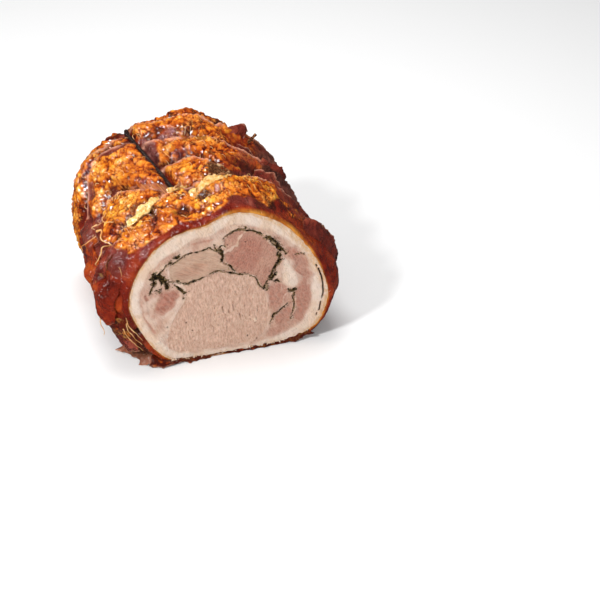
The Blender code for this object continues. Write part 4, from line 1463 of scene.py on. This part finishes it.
filling = herb_layer("herb_layer", herb_loops, [cap_loop, tenderloin_loop, loin_loop], 121)
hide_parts("herb_filling")
lone = herb_layer("herb_seam_right", [lone_loop], [loin_loop], 131)
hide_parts("herb_seam")


def crumb_tree():
    """Scatters chopped leaves on a cloud of points, each turned and sized at random."""
    n, given, result = new_group("scattered_crumbs", "GeometryNodeTree", {
        "Geometry": "Geometry", "Length": "Float", "Thickness": "Float", "Tumble": "Float",
        "Seed": "Int", "Material": "Material",
    }, {"Geometry": "Geometry"})

    def at_random(kind, low, high, seed_offset):
        slots, output = ((0, 1), 0) if kind == "FLOAT_VECTOR" else ((2, 3), 1)
        seed = n.plus(given["Seed"], float(seed_offset))
        return n.add("FunctionNodeRandomValue", {
            slots[0]: low, slots[1]: high, "Seed": seed,
        }, data_type=kind).outputs[output]

    leaf = n.add("GeometryNodeMeshUVSphere", {"Segments": 6, "Rings": 5, "Radius": 0.5})
    size = n.add("ShaderNodeCombineXYZ", {
        "X": given["Thickness"], "Y": given["Thickness"], "Z": given["Length"],
    })
    shaped = n.after(leaf.outputs["Mesh"], "GeometryNodeTransform", {"Scale": size.outputs[0]})
    dots = n.add("GeometryNodeMeshToPoints", {"Mesh": given["Geometry"]})
    laid = n.add("GeometryNodeInstanceOnPoints", {
        "Points": dots.outputs["Points"], "Instance": shaped,
        "Rotation": at_random("FLOAT_VECTOR", (0.0, 0.0, 0.0), (6.28, 6.28, 6.28), 1),
        "Scale": at_random("FLOAT_VECTOR", (0.4, 0.4, 0.5), (1.2, 0.8, 1.3), 2),
    })
    latest = n.after(laid.outputs["Instances"], "GeometryNodeStoreNamedAttribute", {
        "Name": "shade", "Value": at_random("FLOAT", 0.0, 1.0, 3),
    }, data_type="FLOAT", domain="INSTANCE")
    latest = n.after(latest, "GeometryNodeRealizeInstances")
    place = n.add("GeometryNodeInputPosition").outputs[0]
    crush = n.add("ShaderNodeTexNoise", {"Scale": 1400.0, "Vector": place}).outputs["Color"]
    latest = n.after(latest, "GeometryNodeSetPosition", {
        "Offset": n.vector("MULTIPLY", crush, given["Tumble"]),
    })
    latest = n.after(latest, "GeometryNodeSetMaterial", {"Material": given["Material"]})
    n.feed(result["Geometry"], latest)
    return n.tree


def crumb_material(name, *colours):
    material, n = new_material(name)
    stops = [(k / (len(colours) - 1), colour) for k, colour in enumerate(colours)]
    shades = n.ramp(n.mask("shade"), *stops)
    n.shade({
        "Base Color": n.mix(n.times(n.noise(1100, 2, 12.0), 0.5), shades, colours[0]),
        "Roughness": 0.5, "Specular IOR Level": 0.12,
    })
    return material


crumbs = crumb_tree()
herb_bits = crumb_material(
    "chopped_herbs", (0.004, 0.002, 0.001), (0.012, 0.006, 0.002), (0.035, 0.020, 0.005),
    (0.12, 0.075, 0.018), (0.42, 0.27, 0.09),
)
dice = np.random.default_rng(7)
THICK_SEAM = 0.9
spots_on_cut = []
for half_width, line in HERB_LINES:
    thick = half_width > THICK_SEAM
    path = finely(line, 0.5 if thick else 1.1, False)
    for _ in range(3 if thick else 1):
        spots_on_cut.append(path + dice.normal(0, 0.65 * half_width + 0.15, path.shape))
    path = finely(line, 1.2, False)
    spots_on_cut.append(path + dice.normal(0, 0.8 * half_width + 0.6, path.shape))
herb_points = on_cut(np.vstack(spots_on_cut))
herb_points[:, 1] = FRONT_Y - 0.45 + 0.4 * dice.random(len(herb_points))
herb_crumbs = link_mesh("herb_crumbs", herb_points, [])
grow(herb_crumbs, crumbs, length=0.0017, thickness=0.00055, tumble=0.0003, seed=3,
     material=herb_bits)
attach(herb_crumbs, "root")


# ---------------------------------------------------------------- twine
# Cotton twine, tied lengthwise and charred in the oven: three strands twisted together, sunk
# in its groove over the top, knotted at the back edge and run down the back end.
TWINE_STANDS = 0.9
END_DOME = 5.0
TWINE_BACK_DRIFT = (2.0, 4.0)
TWINE_DOME_POWER = 0.7
TWINE_END_Z = 25.4
KNOT_Y = 61.0


def twine_line():
    points = []
    for y in np.linspace(TWINE_START[1] - 3, SHOULDER_START_Y, 60):
        theta = twine_theta(y)
        where, *_ = skin_place(np.array([theta]), np.array([y]), RIGHT_CREASES)
        outward = np.array([math.cos(theta), 0, math.sin(theta)])
        points.append(where[0] + outward * TWINE_STANDS)
    edge = points[-1]
    for turn in np.linspace(0, math.pi / 2, 14)[1:]:
        points.append(np.array([
            edge[0] + TWINE_BACK_DRIFT[0] * math.sin(turn),
            SHOULDER_START_Y + (SHOULDER_REACH + 1.5) * math.sin(turn),
            edge[2] - SHOULDER_DEPTH * (1 - math.cos(turn)),
        ]))
    last = points[-1]
    for share in np.linspace(0, 1, 24)[1:]:
        dome = END_DOME * math.sin(math.pi * share) ** TWINE_DOME_POWER
        points.append(np.array([
            last[0] + TWINE_BACK_DRIFT[1] * share, last[1] + dome,
            last[2] + (TWINE_END_Z - last[2]) * share,
        ]))
    return np.array(points)


def along_line(line, spacing):
    step = np.linalg.norm(np.diff(line, axis=0), axis=1)
    length = np.concatenate([[0], np.cumsum(step)])
    at = np.linspace(0, length[-1], int(length[-1] / spacing))
    return np.stack([np.interp(at, length, line[:, k]) for k in range(3)], 1), at


def across_line(line):
    """Two directions square to a line at each of its points, and to each other."""
    ahead = unit(np.gradient(line, axis=0))
    side = unit(np.cross(ahead, [0.3, 0.2, 1.0]))
    return side, np.cross(side, ahead)


def tube(line, radii, sides=7):
    """Points and faces of a closed tube along a line."""
    side, over = across_line(line)
    turn = np.arange(sides) * 2 * math.pi / sides
    ring = side[:, None] * np.cos(turn)[None, :, None] + over[:, None] * np.sin(turn)[None, :, None]
    points = line[:, None] + ring * np.asarray(radii)[:, None, None]
    rows = len(line)
    faces = sheet_faces(rows, sides, False, True)
    faces += [list(range(sides)), list(range((rows - 1) * sides, rows * sides))[::-1]]
    return points.reshape(-1, 3), faces


def merged(parts):
    """Points and faces of several parts as one; a part begins with its points and faces."""
    faces, start = [], 0
    for points, part_faces, *_ in parts:
        faces += [[start + k for k in face] for face in part_faces]
        start += len(points)
    return np.vstack([part[0] for part in parts]), faces


def strands(line, at, twist, count, spread, thick):
    """Strands twisted round a line, as one set of points and faces."""
    side, over = across_line(line)
    parts = []
    for k in range(count):
        turn = at / twist * 2 * math.pi + k * 2 * math.pi / count
        path = line + (side * np.cos(turn)[:, None] + over * np.sin(turn)[:, None]) * spread
        parts.append(tube(path, thick * (1 + 0.12 * wobble(path, 2.5, 140 + k))))
    return merged(parts)


def fibre_material(name, noise, stops, roughness, specular):
    material, n = new_material(name)
    n.shade({
        "Base Color": n.ramp(n.noise(*noise), *stops), "Roughness": roughness,
        "Specular IOR Level": specular,
    })
    return material, n


twine_path, twine_at = along_line(twine_line(), 0.7)
# The knot: two turns round the twine at the back edge, and a short end sticking up.
knot_at = int(np.argmin(np.abs(twine_path[:, 1] - KNOT_Y)))
knot = twine_path[knot_at]
knot_ahead = unit(twine_path[knot_at + 2] - twine_path[knot_at - 2])
knot_side = unit(np.cross(knot_ahead, [0.0, 0.0, 1.0]))
knot_over = np.cross(knot_side, knot_ahead)
turn = np.linspace(0, 4 * math.pi, 40)[:, None]
loops = (knot + knot_ahead * (turn / math.pi - 2) * 0.9
         + (knot_side * np.cos(turn) + knot_over * np.sin(turn)) * 1.4)
tail = np.linspace(0, 1, 8)[:, None]
tail = knot + knot_over * (0.8 + 2.6 * tail) - knot_side * 1.6 * tail**2
twine = link_mesh("charred_twine", *merged([
    strands(twine_path, twine_at, 9.0, 3, 0.80, 0.98),
    tube(loops, np.full(40, 0.75)), tube(tail, np.full(8, 0.7)),
]))
charred, n = fibre_material("charred_twine", (500, 3, 8.0), (
    (0.3, (0.006, 0.003, 0.003)), (0.55, (0.022, 0.011, 0.010)), (0.75, (0.10, 0.05, 0.035)),
), 0.45, 0.3)
n.shade({"Normal": n.bump(height=n.noise(1500, 2, 9.0), distance=0.0003, strength=0.7)})
twine.data.materials.append(charred)
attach(twine, "root")
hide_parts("twine")

# ---------------------------------------------------------------- torn skin
# Where the ties have cut in and where it has stuck, the crackling has torn: folded flaps on the
# right flank, draped leaves on the left one, pale brittle strips along the front crease, and
# ragged ends by the floor. Each is a thin sheet of its own standing off the skin.
SHEET_SPACING = 0.8


def skin_spots(degrees, y, lift):
    """Points a height above the skin, at directions in degrees."""
    theta = np.radians(degrees)
    right, outward, *_ = skin_place(theta, y, RIGHT_CREASES)
    left, *_ = skin_place(theta, y, LEFT_CREASES)
    points = np.where((theta > twine_theta(y))[..., None], left, right)
    return points + outward * np.asarray(lift)[..., None]


def curved(points, count):
    """The smooth curve through the points, as count points; each point may itself be a row."""
    p = np.asarray(points, float)
    p = np.concatenate([2 * p[:1] - p[1:2], p, 2 * p[-1:] - p[-2:-1]])
    at = np.linspace(0, len(p) - 3, count)
    k = np.minimum(at.astype(int), len(p) - 4)
    t = (at - k).reshape(-1, *[1] * (p.ndim - 1))
    a, b, c, d = (p[k + n] for n in range(4))
    return 0.5 * (
        2 * b + (c - a) * t + (2 * a - 5 * b + 4 * c - d) * t**2 + (3 * b - a - 3 * c + d) * t**3
    )


def sheet(rows, thickness, look, seed, on_skin=True):
    """Points, faces and attributes of a thick sheet through rows of points, torn along its last
    row. On the skin a point is (direction, y, height); off it, (x, y, z)."""
    def net(grid, down, across):
        return curved(np.swapaxes(curved(grid, down), 0, 1), across).swapaxes(0, 1)

    def wave(size, number):
        return wobble(grid, size, seed + number)

    grid = np.array(rows, float)
    if on_skin:
        grid = skin_spots(*np.moveaxis(net(grid, 7, 9), -1, 0))
    down_length = np.linalg.norm(np.diff(grid, axis=0), axis=2).sum(0).max()
    side_length = np.linalg.norm(np.diff(grid, axis=1), axis=2).sum(1).max()
    down_count = max(int(down_length / SHEET_SPACING), 4)
    side_count = max(int(side_length / SHEET_SPACING), 4)
    grid = net(grid, down_count, side_count)
    side = np.gradient(grid, axis=1)
    down = unit(np.gradient(grid, axis=0), 1e-9)
    normal = unit(np.cross(side, down), 1e-9)
    if np.sum(normal * (grid - np.array([CENTRE_X, 0, CENTRE_Z]))) < 0:
        normal = -normal
    share = np.linspace(0, 1, down_count)[:, None]
    torn = 2.4 * wave(7, 0) + 1.2 * wave(2.7, 1) + 0.5 * wave(1.2, 5)
    grid = grid + down * (torn * ease((share - 0.55) / 0.45))[..., None]
    ends = ease(np.abs(np.linspace(-1, 1, side_count))[None, :] * 4 - 3)
    grid = grid + unit(side, 1e-9) * (torn * ends * 0.8)[..., None]
    grid = grid + normal * (0.7 * wave(5, 2) + 0.3 * wave(2, 3))[..., None]
    thick = thickness * (1 - 0.55 * share**3) * (0.85 + 0.3 * wave(3, 4))
    points = np.concatenate([grid, (grid - normal * thick[..., None])[::-1]])
    points[..., 2] = np.maximum(points[..., 2], 0.05)
    faces = sheet_faces(2 * down_count, side_count, True, False)
    for column in (0, side_count - 1):
        for r in range(down_count - 1):
            a, b = r, r + 1
            c, d = 2 * down_count - 2 - r, 2 * down_count - 1 - r
            faces.append([k * side_count + column for k in (a, b, c, d)][:: 1 if column else -1])
    fields = {
        label: np.full(points.shape[:2], float(look.get(label, 0.0)))
        for label in ("puff", "dry", "soot", "gold", "plum", "red", "pale", "lip", "crest")
    }
    # Along the torn edge the sheet gets a painted highlight.
    edge = np.exp(-((1 - share) * down_length / 0.9) ** 2) + 0 * grid[..., 0]
    fields["brink"] = np.concatenate([edge, edge[::-1]])
    fields["pale"][down_count:] = np.maximum(fields["pale"][down_count:], look.get("inner", 0.3))
    fields["outward"] = np.concatenate([normal, -normal[::-1]])
    return points.reshape(-1, 3), faces, {
        key: value.reshape(-1, 3) if value.ndim == 3 else value.ravel()
        for key, value in fields.items()
    }


def joined(name, parts):
    """One mesh object of several (points, faces, attributes)."""
    fields = {key: np.concatenate([part[2][key] for part in parts]) for key in parts[0][2]}
    return link_mesh(name, *merged(parts), fields)

DARK_FLAP = {"dry": 0.25, "plum": 0.2, "inner": 0.12}
RIGHT_FLAPS = (
    (((66, 39, 0), (62, 39, 0), (58, 40, 0), (54, 40, 0)),
     ((66, 42, 2), (62, 43, 4), (57, 43, 5), (54, 43, 3)),
     ((65, 44, 2), (61, 46, 5), (57, 47, 8), (53, 45, 4))),
    (((52, 0, 0), (45, 1, 0), (38, 1, 0), (31, 0, 0)),
     ((50, 4, 4), (44, 5, 7), (38, 5, 10), (32, 4, 5)),
     ((47, 6, 6), (42, 7, 10), (37.5, 6, 18), (34, 5, 8))),
    (((33, -46, 0), (26, -44, 0), (19, -44, 0), (11, -45, 0)),
     ((33, -40, 1.5), (26, -38, 2.5), (19, -37, 3.5), (11, -39, 2.5)),
     ((33, -36, 1.5), (26, -33, 3.5), (19, -32, 5.5), (11, -35, 2.5))),
    (((30, -66, 0.3), (20, -66, 0.3), (10, -64, 0.3), (-2, -63, 0.3)),
     ((30, -59, 3), (20, -57, 5), (10, -56, 5), (-2, -56, 3)),
     ((29, -54, 3), (19, -51, 8), (8, -50, 9), (-3, -51, 4))),
    (((60, -22, 0), (50, -22, 0), (40, -23, 0), (30, -24, 0)),
     ((58, -15, 3), (49, -15, 4), (40, -16, 4), (30, -18, 3)),
     ((57, -11, 3), (48, -10, 5), (39, -11, 6), (29, -14, 4))),
    (((66, 14, 0), (58, 12, 0), (50, 10, 0)),
     ((65, 20, 3), (58, 18, 4), (50, 16, 3)),
     ((64, 24, 3), (57, 22, 5), (49, 20, 4))),
)
LEFT_LEAVES = (
    ({"red": 1, "inner": 0}, (
        ((170, -4, 0.5), (178, -3, 0.5), (186, -5, 0)), ((169, -16, 2), (180, -16, 2), (190, -18, 0.5)),
        ((170, -32, 2), (182, -33, 2.5), (192, -35, 0.5)), ((176, -44, 1), (183, -48, 1), (189, -45, 0)))),
    ({"red": 0.12, "inner": 0.1}, (
        ((166, -76, 0.5), (165, -66, 1), (166, -56, 0.5)), ((176, -75, 2), (176, -65, 4), (176, -54, 2)),
        ((186, -73, 3), (187, -64, 6), (186, -55, 3)), ((192, -70, 2), (195, -64, 5), (192, -58, 2)))),
    ({"plum": 0.25, "inner": 0.2}, (
        ((154, -62, 0.5), (154, -54, 1.5), (155, -46, 0.5)), ((162, -63, 2), (162, -54, 4), (163, -45, 2)),
        ((169, -61, 2), (171, -54, 4.5), (170, -47, 2)),
        ((174, -58, 0.5), (176, -54, 2), (174, -50, 0.5)))),
    ({"puff": 0.6, "gold": 0.5, "red": 1, "inner": 0.6}, (
        ((190, -76, 0.5), (190, -69, 1), (190, -61, 0.5)), ((199, -76, 1.5), (199, -68, 3), (198, -60, 2)),
        ((206, -74, 1), (207, -67, 4), (205, -60, 2)))),
    ({"plum": 0.4, "inner": 0.2}, (
        ((198, -77, 0.5), (197, -68, 1), (197, -58, 0.5)), ((206, -76, 3), (206, -67, 5), (205, -57, 3)),
        ((213, -75, 4), (214, -66, 7), (212, -58, 4)))),
    ({"red": 0.5, "inner": 0.6}, (
        ((186, -40, 0.5), (187, -30, 1), (188, -18, 0.5)), ((196, -41, 2), (197, -30, 4), (198, -17, 2)),
        ((204, -40, 3), (206, -32, 6), (207, -20, 3)))),
)
FLOOR_TATTERS = (
    (((-60, -70, 9), (-66, -60, 9), (-68, -50, 9)), ((-66, -70, 6), (-73, -60, 7), (-76, -50, 6)),
     ((-68, -70, 1), (-78, -60, 1.5), (-86, -52, 2))),
    (((-52, -77, 8), (-58, -74, 8), (-62, -68, 8)), ((-55, -80, 4), (-62, -77, 4), (-67, -71, 4)),
     ((-56, -82, 0.6), (-63, -80, 0.6), (-70, -74, 0.6))),
)
TORN_STRIPS = (
    (0.75, (((106, -51, 0.8), (99, -50, 1.4), (91, -48, 1.2), (84, -46.5, 0.5)),
            ((105, -49.5, 2.4), (98, -47, 3.6), (90, -45, 3.2), (83, -44, 1.6)),
            ((104, -48.5, 3), (97, -44.5, 5), (89, -42.5, 4.2), (82, -43, 2)))),
    (0.95, (((144, -52, 2), (139, -52, 3), (134, -50, 3.5), (129, -46, 3), (126, -42, 2)),
            ((144, -47, 4.5), (139, -46, 6.5), (134, -44, 7), (129, -40, 6.5), (125, -36, 4)),
            ((143, -43, 5), (138, -41, 8), (133, -38, 9), (128, -34, 8), (124, -31, 5)))),
    (0.7, (((118, -36, 1), (113, -35, 1.5), (108, -34, 1)), ((118, -32, 4), (113, -30, 5), (108, -30, 3)),
           ((117, -29, 4), (112, -26, 7), (107, -27, 4)))),
    (0.6, (((108, -50, 1), (105, -51, 1.2), (102, -51, 1)), ((108, -47, 3), (105, -48, 3), (102, -49, 2.5)),
           ((107, -46, 3.5), (104, -46, 4), (101, -47, 3)))),
)

parts = [sheet(rows, 2.0, DARK_FLAP, 200 + 7 * k) for k, rows in enumerate(RIGHT_FLAPS)]
flaps_right = joined("skin_flaps_right", parts)
parts = [sheet(rows, 2.2, look, 260 + 7 * k) for k, (look, rows) in enumerate(LEFT_LEAVES)]
parts += [sheet(rows, 1.6, {"dry": 0.8, "pale": 0.06, "inner": 0.3}, 320 + 7 * k, False)
          for k, rows in enumerate(FLOOR_TATTERS)]
flaps_left = joined("skin_flaps_left", parts)
brittle = {"puff": 0.8, "gold": 1.0, "inner": 0.6, "crest": 1.0}
parts = [sheet(rows, 1.5, {**brittle, "pale": pale}, 350 + 7 * k)
         for k, (pale, rows) in enumerate(TORN_STRIPS)]
torn_strips = joined("torn_strips", parts)
for obj in (flaps_right, flaps_left, torn_strips):
    grow(obj, blisters, big_bubble=0.0036, small_bubble=0.0020, height=0.0014, material=crackling)
    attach(obj, "root")


# ---------------------------------------------------------------- threads and charred sprigs
# Sinews that pulled loose as the skin shrank, fine strings between blisters, and a sprig of
# rosemary burnt to black fibres in the front crease, with crumbs of garlic beside it.
SINEWS = (
    (0.55, ((158.8, -24, 3), (156.8, -27.5, 4), (159.2, -33.5, 4.5), (159.6, -44, 5.5),
            (163, -50, 5.5), (167, -47, 5), (170, -44, 3))),
    (0.32, ((160, -10, 2), (166, -8, 3), (173, -6, 4), (178, -4, 4))),
    (0.40, ((187, -60, 4), (191, -60, 5), (195, -59, 6), (199, -61, 8), (201, -60, 10))),
    (0.32, ((196, -74, 3), (201, -75, 4), (206, -76, 4), (213, -77, 3))),
    (0.28, ((192, -77, 1), (197, -77, 2.5), (204, -78, 2.5), (209, -78, 1))),
    (0.34, ((188, -78, 0.5), (194, -78, 1.5), (199, -79, 1), (206, -79, 0))),
    (0.3, ((150, -30, 3), (153, -24, 4), (155, -16, 4), (153, -9, 3))),
)
sinew_material, _ = fibre_material("sinew", (220, 2, 71.0), (
    (0.35, (0.66, 0.28, 0.07)), (0.6, (0.88, 0.56, 0.25)),
), 0.3, 0.5)


def many_tubes(name, lines, material, sides=6):
    """One mesh of tubes; each line is (points, radii)."""
    obj = link_mesh(name, *merged([tube(line, radii, sides) for line, radii in lines]))
    obj.data.materials.append(material)
    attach(obj, "root")
    return obj


sinew_lines = []
for k, (radius, spots) in enumerate(SINEWS):
    path = curved(np.array(spots, float), 40)
    line = skin_spots(path[:, 0], path[:, 1], path[:, 2])
    line = line + 0.5 * np.stack([wobble(line, 3, 400 + 3 * k + n) for n in range(3)], -1)
    share = np.linspace(0, 1, 40)
    radii = radius * (1 + 0.35 * wobble(line, 2.5, 410 + k)) * (1 - 0.5 * share**4)
    radii = radii * (1 + 0.9 * np.exp(-((share - 0.02) / 0.05) ** 2))
    sinew_lines.append((line, radii))
dice = np.random.default_rng(23)
string_spots = np.array([(dice.uniform(62, 168), dice.uniform(-74, 60)) for _ in range(300)])
string_theta, string_y = np.radians(string_spots[:, 0]), string_spots[:, 1]
gold_here = patches(string_theta, string_y, GOLD_PATCHES)
bare_here = patches(string_theta, string_y, SMOOTH_PATCHES + PLUM_PATCHES)
kept = (gold_here > 0.3) | (dice.random(len(string_spots)) < 0.35)
kept &= bare_here < 0.5
kept &= (string_y < crease_y(FRONT_CREASE, string_theta) - 2) | (string_y > -22)
steps = np.linspace(-1, 1, 7)
for degrees, y in string_spots[kept]:
    heading = dice.uniform(0, math.pi)
    reach = dice.uniform(1.2, 3.2)
    bow = dice.uniform(-0.5, 0.5) * reach
    along = steps * reach * math.sin(heading) + bow * (1 - steps**2) * math.cos(heading)
    around = steps * reach * math.cos(heading) - bow * (1 - steps**2) * math.sin(heading)
    height = 1.4 + 1.6 * (1 - steps**2) * dice.uniform(0.5, 1.0)
    line = skin_spots(degrees + around / 1.25, y + along, height)
    sinew_lines.append((line, dice.uniform(0.13, 0.24) * (1 - 0.5 * steps**4)))
sinews = many_tubes("sinew_threads", sinew_lines, sinew_material)

char, _ = fibre_material("charred_rosemary", (900, 3, 81.0), (
    (0.38, (0.022, 0.005, 0.002)), (0.50, (0.10, 0.030, 0.012)), (0.60, (0.36, 0.16, 0.065)),
), 0.6, 0.1)
sprig_lines = []
share = np.linspace(0, 1, 12)
for _ in range(46):
    degrees = dice.normal(89.0, 2.4) - 5.0 * share + dice.normal(0, 2.0) * share**2
    y = -20 - 24 * share * dice.uniform(0.5, 1.0) + dice.uniform(-3, 3)
    line = skin_spots(degrees, y, 0 * share)
    # The sprig lies across the crease, from crest to crest.
    line = np.maximum(line, line[0] + (line[-1] - line[0]) * share[:, None])
    line[:, 2] += 1.0 + dice.uniform(0.5, 3.0) * np.sin(math.pi * share * 0.9 + 0.2)
    sprig_lines.append((line, dice.uniform(0.2, 0.38) * (1 - 0.6 * share**2)))
stub_share = np.linspace(0, 1, 10)
stub = skin_spots(np.full(10, 51.5), 37 - 2 * stub_share, 12 * stub_share - 1)
sprig_lines.append((stub, 1.7 - 0.7 * stub_share + 0.5 * np.exp(-((stub_share - 1) / 0.15) ** 2)))
sprig = many_tubes("charred_sprig", sprig_lines, char, 5)

tan = crumb_material(
    "garlic_crumbs", (0.18, 0.06, 0.018), (0.46, 0.21, 0.09), (0.68, 0.39, 0.19), (0.82, 0.54, 0.30),
)
crumb_degrees = np.concatenate([
    dice.normal(82, 2.2, 26), dice.normal(88, 2.5, 10), dice.normal(112, 2.5, 6),
])
crumb_y = np.concatenate([
    dice.normal(-31, 3.0, 26), dice.normal(-38, 4, 10), dice.normal(-33, 3, 6),
])
crumb_points = skin_spots(crumb_degrees, crumb_y, dice.uniform(1.5, 4.5, len(crumb_y)))
garlic = link_mesh("garlic_crumbs", crumb_points, [])
grow(garlic, crumbs, length=0.0034, thickness=0.0028, tumble=0.0012, seed=11, material=tan)
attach(garlic, "root")


# ---------------------------------------------------------------- crust under the cut
# The roll's underside fried in its own fat: a ragged brown crust juts from under the cut, with
# shreds of pale fat caught on it.
CRUST_ROWS = (
    ((-58, -74, 9), (-50, -75, 5), (-36, -76, 3.2), (-18, -76, 2.8), (6, -76, 2.6), (30, -76, 3),
     (50, -76, 4.5), (66, -75, 9)),
    ((-62, -79, 7), (-52, -80.5, 3), (-38, -81, 1.6), (-18, -79.5, 1.2), (6, -79.2, 1),
     (30, -79.2, 1.2), (51, -79.3, 2.8), (68, -79, 8)),
    ((-64, -80, 3), (-54, -83, 1), (-38, -83.5, 0.7), (-18, -80.5, 0.6), (6, -79.6, 0.6),
     (30, -79.6, 0.6), (52, -79.8, 1.4), (70, -79.4, 6)),
)
crust_part = sheet(CRUST_ROWS, 1.6, {"puff": 0.5, "soot": 0.3, "inner": 0.0}, 430, False)
crust = joined("base_crust", [crust_part])
grow(crust, blisters, big_bubble=0.004, small_bubble=0.0022, height=0.001, material=crackling)
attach(crust, "root")

fat_bits = crumb_material(
    "shreds_of_fat", (0.58, 0.36, 0.20), (0.74, 0.55, 0.40), (0.78, 0.62, 0.50), (0.80, 0.66, 0.54),
)
shred_x = np.concatenate([dice.uniform(-46, -24, 34), dice.uniform(-24, 60, 30)])
shred_y = -80.0 + dice.uniform(-1.2, 0.6, len(shred_x))
shred_z = 2.7 + dice.uniform(-0.6, 0.8, len(shred_x))
shred_points = np.stack([shred_x, shred_y, shred_z], -1)
shreds = link_mesh("shreds_of_fat", shred_points, [])
grow(shreds, crumbs, length=0.0026, thickness=0.0011, tumble=0.0010, seed=19, material=fat_bits)
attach(shreds, "root")
